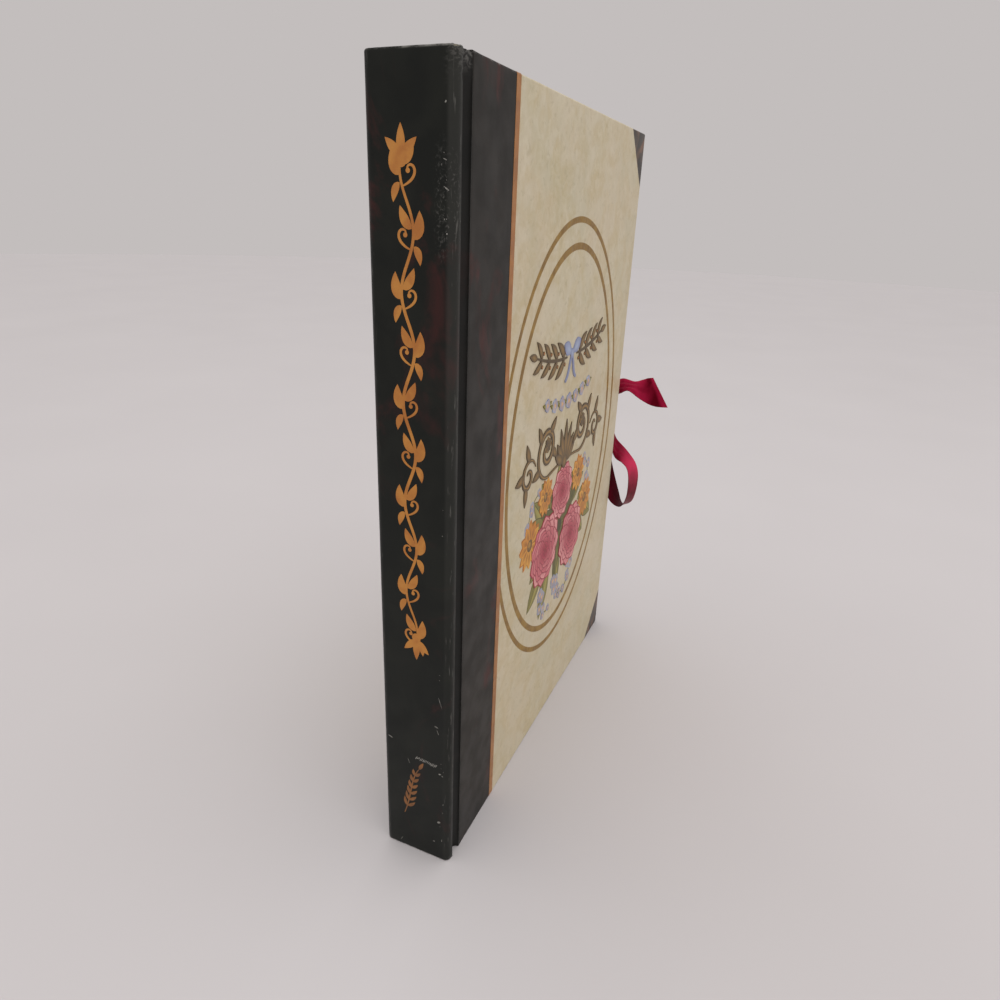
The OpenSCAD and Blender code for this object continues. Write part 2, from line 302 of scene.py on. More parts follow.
class Look(Nodes):
    """A procedural material; coordinates are the object's own, in millimetres."""

    def __init__(self, name, roughness=0.5, specular=0.5):
        self.mat = bpy.data.materials.new(name)
        super().__init__(self.mat)
        self.bsdf = self.tree.nodes["Principled BSDF"].inputs
        self.shader({"Roughness": roughness, "Specular IOR Level": specular})
        self.object = self.node("TexCoord")["Object"]

    def shader(self, values):
        self.put(self.bsdf, values)

    def scaled(self, size):
        """Object coordinates where one unit is this many millimetres, on each axis."""
        return self.node("Mapping", {"Vector": self.object, "Scale": [1 / (s * MM) for s in size]})[0]

    def noise(self, size, detail=3.0, distortion=0.0, roughness=0.5):
        size = size if isinstance(size, tuple) else (size,) * 3
        return self.node("TexNoise", {"Vector": self.scaled(size), "Scale": 1, "Detail": detail,
                                      "Roughness": roughness, "Distortion": distortion})[0]

    def patch(self, size, low, high, *figure, to=(0, 1)):
        """Noise between two levels; figure is its detail, distortion and roughness."""
        return self.step(self.noise(size, *figure), low, high, *to)

    def wave(self, size, direction, distortion=0.0):
        values = {"Vector": self.scaled((size,) * 3), "Scale": 0.5, "Distortion": distortion}
        return self.node("TexWave", values, bands_direction=direction)["Fac"]

    def axis(self, letter):
        """One object coordinate in millimetres."""
        return self.node("SeparateXYZ", {0: self.scaled((1, 1, 1))})[letter]

    def painted(self, layer):
        """A colour that the mesh carries."""
        return self.node("VertexColor", layer_name=layer)["Color"]

    def step(self, value, low, high, to_low=0.0, to_high=1.0):
        values = {"Value": value, "From Min": low, "From Max": high, "To Min": to_low, "To Max": to_high}
        return self.node("MapRange", values, interpolation_type="SMOOTHSTEP")[0]

    def math(self, operation, a, b=0.0, clamp=False):
        return self.node("Math", {0: a, 1: b}, operation=operation, use_clamp=clamp)[0]

    def times(self, *values):
        return reduce(lambda a, b: self.math("MULTIPLY", a, b), values)

    def most(self, *values):
        return reduce(lambda a, b: self.math("MAXIMUM", a, b), values)

    def mix(self, factor, a, b):
        return self.node("Mix", {0: factor, 6: a, 7: b}, data_type="RGBA")[2]

    def finish(self, colour, roughness, height, strength, distance):
        """Sets the colour, roughness and bumps of the surface, and gives the material."""
        bumps = self.node("Bump", {"Strength": strength, "Distance": distance * MM, "Height": height})
        self.shader({"Base Color": colour, "Roughness": roughness, "Normal": bumps[0]})
        return self.mat


# The rubbed colour; on the spine it is also the colour of a painted sheen along the front rounded edge.
RUBBED_AND_SHEEN = "#8d8a85"


def leatherette(name, base, cloud, marble, wear, roughness, specular=0.4, vein=46, veining=0.0):
    """Dark printed leatherette: smoky base, faint red marbling, fine grain, rubbed places; on the spine
    these include a painted sheen.
    """
    look = Look(name, specular=specular)
    tone = look.mix(look.patch(17, 0.35, 0.7, 4, 0.6), base, cloud)
    veins = look.patch((vein, vein, 1.3 * vein), 0.53 - veining, 0.68 - veining, 5, 1.4, 0.6)
    tone = look.mix(look.times(veins, 0.8), tone, marble)
    sheen = look.patch(9, 0.25, 0.75, to=(roughness - 0.06, roughness + 0.08))
    return look.finish(look.mix(wear(look), tone, RUBBED_AND_SHEEN), sheen, look.noise(0.55, 3, 0.2), 0.12, 0.08)


def spine_wear_and_sheen(look):
    """Rubbed head, tail and long edges, a dusty patch at the front edge, the bumped corner, and a painted
    sheen along the front rounded edge.
    """
    x, z = look.axis("X"), look.axis("Z")
    patchy = look.patch((5, 5, 3), 0.38, 0.62, 4, 0.4, 0.65)
    creased = look.patch((1.7, 1.7, 1.1), 0.46, 0.62, 4, 0.8, 0.65)
    streaks = look.patch((0.7, 0.7, 8.0), 0.58, 0.74, 3, 0.3, 0.6)
    specks = look.patch((0.8, 0.8, 1.2), 0.5, 0.72, 4, 0.5, 0.7)
    head = look.times(look.step(z, ALBUM_H - 0.9, ALBUM_H - 0.3), patchy, 0.8)
    tail = look.times(look.step(z, 1.0, 0.2), patchy)
    edges = look.times(look.step(look.math("ABSOLUTE", x), HALF - 3.2, HALF - 1.2), streaks, 0.45)
    # Painted sheen: the front rounded edge is painted lighter, more so higher up, in place of its
    # reflection.
    painted_edge_sheen = look.times(look.step(x, HALF - 3.6, HALF - 2.0), look.step(z, 60, 240, 0.03, 0.09))
    dusty = look.times(look.step(z, 244, 258), look.step(z, 286, 272), look.step(x, HALF - 8, HALF - 5))
    dust = look.times(dusty, specks, 0.4)
    near = look.times(look.step(z, ALBUM_H - 17, ALBUM_H - 1), look.step(x, HALF - 6, HALF - 1))
    bumped = look.times(near, near, creased, 0.36)
    return look.math("MULTIPLY", look.most(head, tail, edges, painted_edge_sheen, dust, bumped), 0.7, clamp=True)


def joint_wear(look):
    """Rubbed fold at the head of the groove."""
    creased = look.patch((1.7, 1.7, 1.1), 0.42, 0.62, 4, 0.8, 0.65)
    return look.times(look.step(look.axis("Z"), ALBUM_H - 7, ALBUM_H - 1), creased, 0.35)


def board_wear(look):
    """Rubbed board edges."""
    z, fore_edge = look.axis("Z"), ALBUM_W + SPINE_Y
    fine = look.patch((1.4, 2.5, 2.5), 0.48, 0.68, 4, 0.4, 0.6)
    edge = look.most(look.step(z, ALBUM_H - 0.9, ALBUM_H - 0.2), look.step(z, 0.9, 0.2),
                     look.step(look.axis("Y"), fore_edge - 0.8, fore_edge - 0.15))
    outside = look.step(look.math("ABSOLUTE", look.axis("X")), TURNED_IN + 0.6, HALF - 0.6)
    return look.times(edge, outside, fine, 0.6)


def parchment():
    """Cream paper with a mottled, upright parchment figure and a few chips."""
    look = Look("parchment_print")
    flake = look.patch((2.0, 5.0, 4.6), 0.40, 0.66, 4, 0.8, 0.64)
    fleck = look.patch((1.3, 3.4, 3.0), 0.54, 0.70, 4, 0.5, 0.62)
    warm = look.patch(48, 0.35, 0.68, 3, 0.4)
    cool = look.patch((30, 34, 30), 0.46, 0.66, 4, 0.7, 0.6)
    chip = look.patch((1.1, 1.1, 1.9), 0.755, 0.80, 2, 0.2)
    tone = look.mix(look.patch((9, 15, 15), 0.36, 0.64, 3, 0.8, 0.6), "#bcac87", "#c2b69b")
    for figure, share, tint in ((flake, 0.50, "#cfc5ae"), (fleck, 0.42, "#a29572"), (warm, 0.18, "#ccb49b"),
                                (cool, 0.22, "#aaa585"), (chip, 0.6, "#e4dfd2"),
                                (board_wear(look), 0.5, "#e2dccb")):
        tone = look.mix(look.times(figure, share), tone, tint)
    return look.finish(tone, look.step(flake, 0, 1, 0.46, 0.56), look.noise((0.8, 0.8, 2.5)), 0.06, 0.06)


def ink(name, dark, light, roughness, metallic=0.0, size=6.0):
    """A flat printed colour with the slight unevenness of print."""
    look = Look(name)
    look.shader({"Metallic": metallic})
    tone = look.mix(look.patch(size, 0.3, 0.7, 4, 0.4), dark, light)
    sheen = look.patch(2.5, 0.3, 0.7, to=(roughness - 0.05, roughness + 0.08))
    return look.finish(tone, sheen, look.noise(0.6, 2), 0.05, 0.03)


def tinted_print():
    """Print that takes its colours from the mesh, with a little paper grain in them."""
    look = Look("posy_print", specular=0.3)
    wash = look.patch((1.1, 1.1, 1.6), 0.3, 0.75, 4, 0.6, 0.6)
    tone = look.mix(look.times(wash, 0.1), look.painted("tint"), "#c9bb98")
    return look.finish(tone, look.step(wash, 0, 1, 0.46, 0.55), look.noise(0.7, 2), 0.05, 0.03)


def card(name, base, fleck, aged=None, roughness=0.75):
    """Card or paper with soft fibres."""
    look = Look(name, specular=0.3)
    fibre = look.patch((0.5, 2.2, 2.2), 0.35, 0.7, 4, 0.6)
    tone = look.mix(look.times(fibre, 0.35), base, fleck)
    tone = look.mix(look.times(look.patch(55, 0.3, 0.75), 0.25), tone, aged or fleck)
    sheen = look.step(fibre, 0, 1, roughness - 0.05, roughness + 0.08)
    return look.finish(tone, sheen, look.noise(0.4), 0.10, 0.05)


def woven(name, base, hollow, pitch):
    """Plain weave: two crossed sets of threads."""
    look = Look(name, specular=0.2)
    weave = look.times(look.wave(pitch, "Y", 0.6), look.wave(pitch, "Z", 0.6))
    tone = look.times(look.math("ADD", weave, look.noise(4)), 0.5)
    return look.finish(look.mix(tone, hollow, base), look.step(weave, 0, 1, 0.9, 0.8), weave, 0.5, 0.12)


def satin(name, dark, bright, sheen, roughness, specular):
    """Crimson satin ribbon: painted highlight and shade from the mesh, mixing its dark and bright colours,
    and fine cross ribs.
    """
    look = Look(name, specular=specular)
    tone = look.patch((7, 7, 9), 0.3, 0.72, 3, 0.5, to=(-0.12, 0.12))
    # Painted highlight and shade: the mesh's painted colour brightens the satin on its bends and darkens it
    # elsewhere.
    lit = look.math("ADD", look.painted("painted_lustre"), tone, clamp=True)
    look.shader({"Specular Tint": "#ff6d8c", "Sheen Weight": sheen, "Sheen Roughness": 0.3,
                 "Sheen Tint": "#d4365e", "Anisotropic": 0.5})
    ribs = look.patch((0.6, 0.6, 0.25), 0.3, 0.7, 2, to=(roughness - 0.06, roughness + 0.06))
    return look.finish(look.mix(lit, dark, bright), ribs, look.noise((0.5, 0.5, 0.22), 2), 0.08, 0.04)


def band_cloth():
    """Headband silk in brown and cream stripes."""
    look = Look("headband_silk", specular=0.4)
    stripe = look.step(look.wave(1.5, "X"), 0.4, 0.6)
    brown = look.mix(look.noise(2), "#7a4b22", "#945f2f")
    sheen = look.patch(0.5, 0.3, 0.7, 2, to=(0.5, 0.65))
    return look.finish(look.mix(stripe, brown, "#d8c8a4"), sheen, look.wave(0.5, "X"), 0.3, 0.06)


# Painted shade: the spine's leatherette, greenish of its own, is painted much darker than the quarter
# strips', for the shade on the spine.
SPINE_SHADED_LOOK = leatherette("spine_leatherette", "#0f120e", "#171914", "#3b1816", spine_wear_and_sheen, 0.38, 0.22)
QUARTER_LOOK = leatherette("quarter_leatherette", "#211f1b", "#2a2723", "#47231f", board_wear, 0.48, 0.24)
JOINT_LOOK = leatherette("joint_leatherette", "#151613", "#1c1b18", "#281815", joint_wear, 0.42, 0.3)
CORNER_LOOK = leatherette("corner_leatherette", "#38322d", "#4a413a", "#785743", board_wear, 0.48,
                          vein=17, veining=0.05)
PAPER_LOOK = parchment()
COPPER_LOOK = ink("copper_print", "#905a26", "#a46b30", 0.4)
GOLD_LOOK = ink("gold_print", "#7c5a18", "#93701f", 0.46)
SPINE_GOLD_LOOK = ink("spine_gold_print", "#a5631f", "#b87a2e", 0.42)
DIM_COPPER_LOOK = ink("dim_copper_print", "#6b421c", "#885522", 0.45)
SCUFF_LOOK = ink("scuff_grey", "#5d5b56", "#95928b", 0.7, size=1.5)
GILT_LOOK = ink("gilt_line", "#9c7a3a", "#c29c52", 0.35, 0.5)
POSY_LOOK = tinted_print()
MAT_LOOK = card("ivory_mat_card", "#ded2b4", "#cbbd9b")
CORE_LOOK = card("core_card", "#cfc3a6", "#b9ac8e")
END_LOOK = card("endpaper", "#d9cdae", "#c3b592", "#cabd9c")
BOARD_LOOK = card("grey_millboard", "#8a8373", "#6f695c", roughness=0.85)
KRAFT_LOOK = card("kraft_lining", "#a98758", "#8d6d43", roughness=0.8)
LINEN_LOOK = woven("linen_hinge", "#cabfa5", "#a2967b", 0.6)
GAUZE_LOOK = woven("spine_gauze_cloth", "#cfc6ae", "#a59a7f", 1.1)
THREAD_LOOK = woven("linen_thread", "#d4c9ae", "#a99d80", 0.3)
# Both satins run from dark to bright by the painted highlight and shade; the back's darker colours are
# partly the dull back of satin and partly painted shade inside the loop.
SATIN_LOOK = satin("crimson_satin", "#5a0415", "#c4244e", 0.06, 0.42, 0.08)
SATIN_BACK_LOOK = satin("crimson_satin_back", "#4a0312", "#7d0d29", 0.0, 0.6, 0.05)
BAND_LOOK = band_cloth()

# Camera at the photograph's place
CAMERA_AT = Vector((117.72, -198.09, 262.38))
CAMERA_TURN = (67.681, -2.080, 24.096)      # degrees about x, y and z
camera_data = bpy.data.cameras.new("camera")
camera_data.lens, camera_data.sensor_width = 25.08, 36
camera_data.clip_start, camera_data.clip_end = 0.01, 50
camera = add_object("camera", camera_data)
camera_turn = Euler([radians(a) for a in CAMERA_TURN])
camera.matrix_world = Matrix.LocRotScale(CAMERA_AT * MM, camera_turn, None)
bpy.context.scene.camera = camera

# Spine covering: one sheet, round the two long edges and turned in at head and tail
CRUMPLED = 12.0         # height of the crushed corner at the head
FOLD_R = 0.8            # radius of the fold at head and tail


def spine_profile(inset):
    """Outside of the spine in plan, from the front joint to the back joint."""
    arc, flat = 10, 20
    r, edge = SPINE_EDGE_R - inset, HALF - SPINE_EDGE_R
    points = [(HALF - inset, SPINE_T)]
    points += [(edge + r * c, SPINE_EDGE_R - r * s) for s, c in quarter(arc)]
    points += [(edge * sin(pi / 2 * (1 - 2 * k / flat)), inset) for k in range(1, flat)]
    return points + [(-x, d) for x, d in reversed(points[:arc + 2])]


def worn_spine(x, d, z):
    """A point of the spine, moved in by wear at the ends and edges and at the crushed corner."""
    bump = ease((x - 9) / 5) * ease((z - ALBUM_H + CRUMPLED) / (0.8 * CRUMPLED))
    rub = ease((z - ALBUM_H + 5) / 5) + ease((3 - z) / 3)
    crease = rough(x, d, z, 2.6, 4) + 0.5 * rough(x, d, z, 1.2, 6)
    lump = abs(0.75 * bump * crease + 0.10 * rub * rough(x, d, z, 4, 9))
    along = abs(0.05 * rough(0, 0, z, 16, 2) * ease((abs(x) - 11) / 4))
    side, end = copysign(1, x), copysign(1, z - TIE_Z)
    return x - side * (0.5 * lump + along), d + 0.6 * lump, z - end * 0.9 * lump


def spine_sheet():
    fold_steps, face_steps, corner_steps = 5, 76, 18
    outer = spine_profile(0)
    cols = len(outer)
    inner = [(x, SPINE_T + SHEET_T) for x in spread(BOARD_IN, -BOARD_IN, cols - 1)]
    turned = ((0, SPINE_TURN_IN), (0, FOLD_R), (0.25 * FOLD_R, 0.25 * FOLD_R), (FOLD_R, 0))
    tail = [[(x, d - back, z) for x, d in inner] for back, z in turned]
    for s, c in quarter(fold_steps):
        tail.append([(x, d, FOLD_R * (1 - c)) for x, d in spine_profile(FOLD_R * (1 - s))])
    crushed = ALBUM_H - CRUMPLED
    heights = spread(FOLD_R, crushed, face_steps)[1:-1]
    heights += spread(crushed, ALBUM_H - FOLD_R, corner_steps)[:-1]
    middle = [[(x, d, z) for x, d in outer] for z in heights]
    head = [[(x, d, ALBUM_H - z) for x, d, z in row] for row in reversed(tail)]
    rows = tail + middle + head
    verts = [worn_spine(*p) for row in rows for p in row]
    obj = new_object("spine_covering", verts, grid(len(rows), cols, flip=True), SPINE_SHADED_LOOK, 60)
    return thicken(obj, SHEET_T - 0.02, -1)


spine = spine_sheet()
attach(spine, "text_block")
stand_in("spine_sheet")

# Joint cloths: a half-round channel, hemmed at head and tail
HEM = 0.5
HEAD_FILL = 0.92        # how far the bulky fold at the head fills the channel
CHANNEL_R = GROOVE_W / 2 - 0.1


def joint_channel():
    arc, steps = 22, 60
    reach = acos((HINGE_X - HALF) / CHANNEL_R)
    ends = (0.0, 0.15, 0.4, 1.0, 3.0)
    low, high = SHEET_T, ALBUM_H - SHEET_T
    levels = [low + e for e in ends]
    levels += spread(low + ends[-1], high - ends[-1], steps)[1:-1]
    levels += [high - e for e in reversed(ends)]
    verts = []
    for z in levels:
        roll = 0.5 * HEM * (1 - ease(min(z - low, high - z) / 0.5))
        for a in spread(-reach, reach, arc):
            wobble = 0.07 * rough(0, 0, z, 22, 5) + 0.05 * rough(0, 3 * a, z, 6, 7)
            radius = CHANNEL_R - 0.02 - roll - abs(wobble)
            bulk = 0.85 + 0.3 * rough(0, 4 * a, z, 2.6, 3)
            filled = HEAD_FILL * ease((z - ALBUM_H + 9) / 8) * bulk
            x = lerp(HINGE_X - radius * cos(a), HALF - 0.35, filled)
            verts.append((x, HINGE_D + radius * sin(a), z))
    obj = new_object("joint", verts, grid(len(levels), arc + 1), JOINT_LOOK, 60)
    return thicken(obj, CLOTH_T - 0.06, -1)


channel = joint_channel()
for side, sign in SIDES:
    joint = copy_of(channel, side + "_joint_covering", sign)
    if side == "front":
        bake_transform(joint)
    else:       # placed just as the front one is
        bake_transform(joint)
    stand_in(side + "_joint_cloth")
remove(channel)


# Covers: one soft-edged shell over the board, cut into quarter strip, side paper and corners
def covered_board():
    """Closed slab of a covered board with soft edges."""
    corner_r, corner_steps, along, up = 0.8, 5, 36, 52
    groove_r, steps, flat = 0.5, 6, 1.2
    d0 = BOARD_D0 - 0.05
    rings = []

    def ring(section):
        """One closed line round the board; section gives (inset, x) for an edge radius."""
        groove_inset, groove_x = section(groove_r)
        inset, x = section(EDGE_R)
        r = max(corner_r - inset, 0.15)
        d_end, z_end = ALBUM_W - inset - r, inset + r
        lower = [(groove_x, d0 + groove_inset, groove_inset)]
        for d in spread(d0 + groove_inset, d_end, along)[1:]:
            inset_there, x_there = section(lerp(groove_r, EDGE_R, ease((d - BOARD_D0) / 4)))
            lower.append((x_there, d, inset_there))
        lower += [(x, d_end + r * s, z_end - r * c) for s, c in quarter(corner_steps)[1:-1]]
        fore = [(x, ALBUM_W - inset, z) for z in spread(z_end, ALBUM_H - z_end, up)]
        upper = [(px, d, ALBUM_H - z) for px, d, z in reversed(lower)]
        groove = [(groove_x, d0 + groove_inset, z)
                  for z in spread(ALBUM_H - groove_inset, groove_inset, up)[1:-1]]
        rings.append(lower + fore + upper + groove)

    ring(lambda r: (r + flat, HALF))
    for s, c in quarter(steps):
        ring(lambda r: (r * (1 - s), HALF - r * (1 - c)))
    for s, c in reversed(quarter(steps)):
        ring(lambda r: (INNER_R * (1 - s), TURNED_IN + INNER_R * (1 - c)))
    ring(lambda r: (INNER_R + flat, TURNED_IN))
    verts = []
    for x, d, z in (p for line in rings for p in line):
        worn = 0.05 * abs(rough(d, 0, z, 7, 3)) * ease((d - BOARD_D0 - 1) / 4) * ease((x - TURNED_IN) / 1.5)
        fore, end = ease((d - ALBUM_W + 4) / 3), ease((z - ALBUM_H + 4) / 3) - ease((4 - z) / 3)
        verts.append((x, d - worn * fore, z - worn * end))
    return new_object("covered_board", verts, capped(len(rings), len(rings[0]), flip=True))


PAST = 5.0              # how far the cutting shapes reach past the board
shell = covered_board()
inside = block((BOARD_IN, BOARD_OUT), (BOARD_D0 - 0.01, ALBUM_W - SHEET_T), (SHEET_T, ALBUM_H - SHEET_T))
pocket = block((TURNED_IN - 1, BOARD_IN + 1), (BOARD_D0 - 1, ALBUM_W - TURN_IN),
               (TURN_IN, ALBUM_H - TURN_IN))
boolean(shell, [inside, pocket], "DIFFERENCE")
near_spine = block((0, 2 * HALF), (0, QUARTER_W), (-PAST, ALBUM_H + PAST))
tri = [(ALBUM_W - CORNER_LEG - PAST, -PAST), (ALBUM_W + PAST, -PAST), (ALBUM_W + PAST, CORNER_LEG + PAST)]
at_head = [(d, ALBUM_H - z) for d, z in reversed(tri)]
at_corners = joined("at_corners", *(prism(outline, (0, 2 * HALF)) for outline in (tri, at_head)))
strip_part = boolean(copy_of(shell), [near_spine], "INTERSECT")
paper_part = boolean(copy_of(shell), [near_spine, at_corners], "DIFFERENCE")
corner_part = boolean(copy_of(shell), [at_corners], "INTERSECT")
remove(shell, inside, pocket, near_spine, at_corners)
COVER_PARTS = (
    (strip_part, "quarter_strip", "quarter_covering", QUARTER_LOOK, "dark_leatherette"),
    (paper_part, "side_paper", "side_covering", PAPER_LOOK, "parchment_paper"),
    (corner_part, "corners", "corner_covering", CORNER_LOOK, "dark_leatherette"),
)
for part, node, name, look, slot in COVER_PARTS:
    for side, sign in SIDES:
        piece = dressed(copy_of(part, side + "_" + name, sign), look, 30)
        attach(piece, side + "_cover")
        stand_in(side + "_" + node)
    remove(part)


# Printed layers: thin closed shapes on a face
GOLD = lin("#8f6a30")


class Print:
    """Collects flat shapes on one face; on_face takes (u, v, height) to (x, d, z)."""

    def __init__(self, on_face, mirrored_face=False):
        self.on_face, self.verts, self.tints, self.faces = on_face, [], [], []
        self.level, self.mirrored_face = PRINT_H, mirrored_face

    def layer(self, points, tints):
        """Adds points on top of a new layer and again below it; gives the number of the first."""
        base = len(self.verts)
        for height in (self.level, -PRINT_SINK):
            self.verts += [self.on_face(u, v, height) for u, v in points]
            self.tints += tints
        self.level += LAYER
        return base

    def add(self, outline, rim=GOLD, heart=None, centre=None):
        """A shape that is star-shaped about its centre; its tint goes from heart to rim."""
        n = len(outline)
        centre = centre or tuple(sum(p[i] for p in outline) / n for i in (0, 1))
        base = self.layer(outline + [centre], [rim] * n + [heart or rim])
        low = base + n + 1
        for i in range(n):
            j = (i + 1) % n
            self.faces += [(base + i, base + j, base + n), (low + j, low + i, low + n),
                           (base + i, low + i, low + j, base + j)]

    def band(self, left, right, tint=GOLD, closed=False):
        """A strip between two lines with the same number of points."""
        n = len(left)
        low, last = 2 * n, n - 1
        base = self.layer(left + right, [tint] * low)
        for i in range(n if closed else last):
            j = (i + 1) % n
            l0, l1, r0, r1 = base + i, base + j, base + n + i, base + n + j
            self.faces += [(r0, r1, l1, l0), (l0 + low, l1 + low, r1 + low, r0 + low),
                           (l0, l1, l1 + low, l0 + low), (r1, r0, r0 + low, r1 + low)]
        if not closed:
            l1, r1 = base + last, base + n + last
            self.faces += [(base, base + low, base + n + low, base + n), (l1, r1, r1 + low, l1 + low)]

    def stroke(self, points, width, tint=GOLD, taper=0.15):
        """A drawn line, thickest in its middle."""
        left, right = [], []
        last = len(points) - 1
        for i, (u, v) in enumerate(points):
            a, b = points[max(i - 1, 0)], points[min(i + 1, last)]
            du, dv = b[0] - a[0], b[1] - a[1]
            size = hypot(du, dv) or 1
            w = 0.5 * width * (taper + (1 - taper) * swell(i / last) ** 0.7)
            left.append((u - dv / size * w, v + du / size * w))
            right.append((u + dv / size * w, v - du / size * w))
        self.band(left, right, tint)

    def dot(self, u, v, r, tint=GOLD, heart=None):
        n = 14
        self.add([polar(u, v, r, tau * k / n) for k in range(n)], tint, heart)

    def leaf(self, u, v, angle, length, width, rim=GOLD, heart=None, broad=0.8, bend=0.0):
        """A pointed leaf or petal that starts at (u, v)."""
        one, two, last, belly = [], [], 10, 0.45
        for k in range(last + 1):
            t = k / last
            w = 0.5 * width * swell(t ** broad) ** 0.85
            a = angle + bend * t
            cu, cv = polar(u, v, length * t, a)
            one.append((cu - w * sin(a), cv + w * cos(a)))
            two.append((cu + w * sin(a), cv - w * cos(a)))
        self.add(two + one[-2:0:-1], rim, heart, polar(u, v, belly * length, angle + bend * belly))

    def object(self, name, mat, body):
        """Makes the piece and has it ride on a body."""
        faces = [f[::-1] for f in self.faces] if self.mirrored_face else self.faces
        obj = new_object(name, self.verts, faces, mat, 30)
        paint(obj, "tint", self.tints)
        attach(obj, body)


def on_cover(u, v, h):
    """The front cover: u is the distance d, v the height."""
    return (HALF + h, u, v)


def on_spine(u, v, h):
    return (u, -h, v)


# Double oval on the front cover; the outer one runs under the copper stripe
OVAL = (120.3, 154.7)
OUTER_OVAL, INNER_OVAL = (82.0, 106.8), (72.2, 95.8)
OUTER_LINE, INNER_LINE = 2.6, 3.0
STRIPE = (41.6, 45.3)


def oval_arc(half, by, reach, n=150):
    """Points of a widened oval from -reach to reach, as angles from the fore-edge side."""
    return [(OVAL[0] + (half[0] + by) * cos(a), OVAL[1] + (half[1] + by) * sin(a))
            for a in spread(-reach, reach, n)]


ovals = Print(on_cover)
under = acos((sum(STRIPE) / 2 - OVAL[0]) / OUTER_OVAL[0])
ovals.band(oval_arc(OUTER_OVAL, -OUTER_LINE / 2, under), oval_arc(OUTER_OVAL, OUTER_LINE / 2, under))
ovals.band(oval_arc(INNER_OVAL, -INNER_LINE / 2, pi)[:-1],
           oval_arc(INNER_OVAL, INNER_LINE / 2, pi)[:-1], closed=True)
ovals.object("front_double_oval", GOLD_LOOK, "front_cover")

# Copper stripe beside each quarter strip, carried over the board's head and tail edges
STRIPE_H = 2 * PRINT_H


def stripe_path():
    """(x, z) along the stripe, from the turned-in tail round the face to the turned-in head."""
    turns = quarter(6)
    lower = [(TURNED_IN - STRIPE_H, TURN_IN), (TURNED_IN - STRIPE_H, INNER_R)]
    lower += [(TURNED_IN + INNER_R * (1 - c) - STRIPE_H * c, INNER_R * (1 - s) - STRIPE_H * s)
              for s, c in turns[1:]]
    lower += [(HALF - EDGE_R * (1 - s) + STRIPE_H * s, EDGE_R * (1 - c) - STRIPE_H * c) for s, c in turns]
    lower = [(x, max(z, 0.0)) for x, z in lower]
    return lower + [(x, ALBUM_H - z) for x, z in reversed(lower)]


for side, sign in SIDES:
    path = stripe_path()
    verts = [(sign * x, d, z) for d in STRIPE for x, z in path]
    stripe = new_object(side + "_copper_stripe", verts, grid(2, len(path), flip=sign > 0), COPPER_LOOK)
    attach(thicken(stripe, STRIPE_H + PRINT_SINK, -1), side + "_cover")


# Drawing helpers for the printed ornament
def curl(u, v, heading, length, turn_from, turn_to, n=30):
    """A line from (u, v) that bends from one curvature to another, in turns per millimetre."""
    points, step = [(u, v)], length / n
    for k in range(n):
        heading += tau * lerp(turn_from, turn_to, (k / n) ** 2) * step
        points.append(polar(*points[-1], step, heading))
    return points


def direction(line, i, j):
    """The way from one point of a line to another."""
    return atan2(line[j][1] - line[i][1], line[j][0] - line[i][0])


def bloom(page, u, v, r, petals, rings, deep, mid, pale):
    """A full double flower: rings of rounded petals, small and deep towards the middle."""
    broad = 1.75
    for i in range(rings):
        length = r * (1 - i / (rings + 0.6))
        n = max(petals - i, 5)
        blush = 1 - i / (rings - 1)
        heart = shade(deep, mid, 0.5 * blush)
        wide = 1.15 * tau * length / n
        for k in range(n):
            a = tau * (k + 0.5 * (i % 2) + random.uniform(-0.1, 0.1)) / n
            rim = shade(shade(deep, mid, 0.9), shade(mid, pale, random.uniform(0.3, 1.0)), blush)
            page.leaf(u, v, a, length * 1.04, wide * 1.06, heart, deep, broad)
            page.leaf(u, v, a, length, wide * 0.94, rim, heart, broad)
    page.dot(u, v, 0.10 * r, shade(deep, mid, 0.5), deep)


def daisy(page, u, v, r, petals, tint, tip, eye):
    for k in range(petals):
        a = tau * (k + random.uniform(-0.12, 0.12)) / petals
        page.leaf(u, v, a, r * random.uniform(0.9, 1.05), 1.5 * pi * r / petals,
                  shade(tint, tip, random.random()), shade(tint, eye, 0.5), 1.35)
    page.dot(u, v, 0.26 * r, eye, shade(eye, tip, 0.3))
    page.dot(u - 0.05 * r, v + 0.06 * r, 0.12 * r, shade(eye, tip, 0.45))


def veined_leaf(page, u, v, angle, length, width, dark, green, pale, bend):
    """A leaf with a dark edge, a lit half and a midrib."""
    broad = 0.85
    page.leaf(u, v, angle, length * 1.03, width * 1.1, shade(dark, green, 0.3), dark, broad, bend)
    page.leaf(u, v, angle, length, width, green, shade(green, dark, 0.4), broad, bend)
    page.leaf(u, v, angle + 0.16, length * 0.93, width * 0.42, shade(green, pale, 0.55), pale, broad,
              bend - 0.12)
    rib = [polar(u, v, length * t, angle + bend * t) for t in (0.0, 0.2, 0.4, 0.6, 0.8, 0.95)]
    page.stroke(rib, 0.5, dark, 0.4)


def flower_sprig(page, points, stem, tint, tip, eye, r):
    """A thin stem with small five-petalled flowers on both sides."""
    page.stroke(points, 0.7, stem, 0.5)
    for k, (u, v) in enumerate(points[6::4]):
        hand = 1 if k % 2 else -1
        daisy(page, u + 1.7 * hand, v + 0.9 * hand, r * (1 - 0.09 * k), 5, tint, tip, eye)


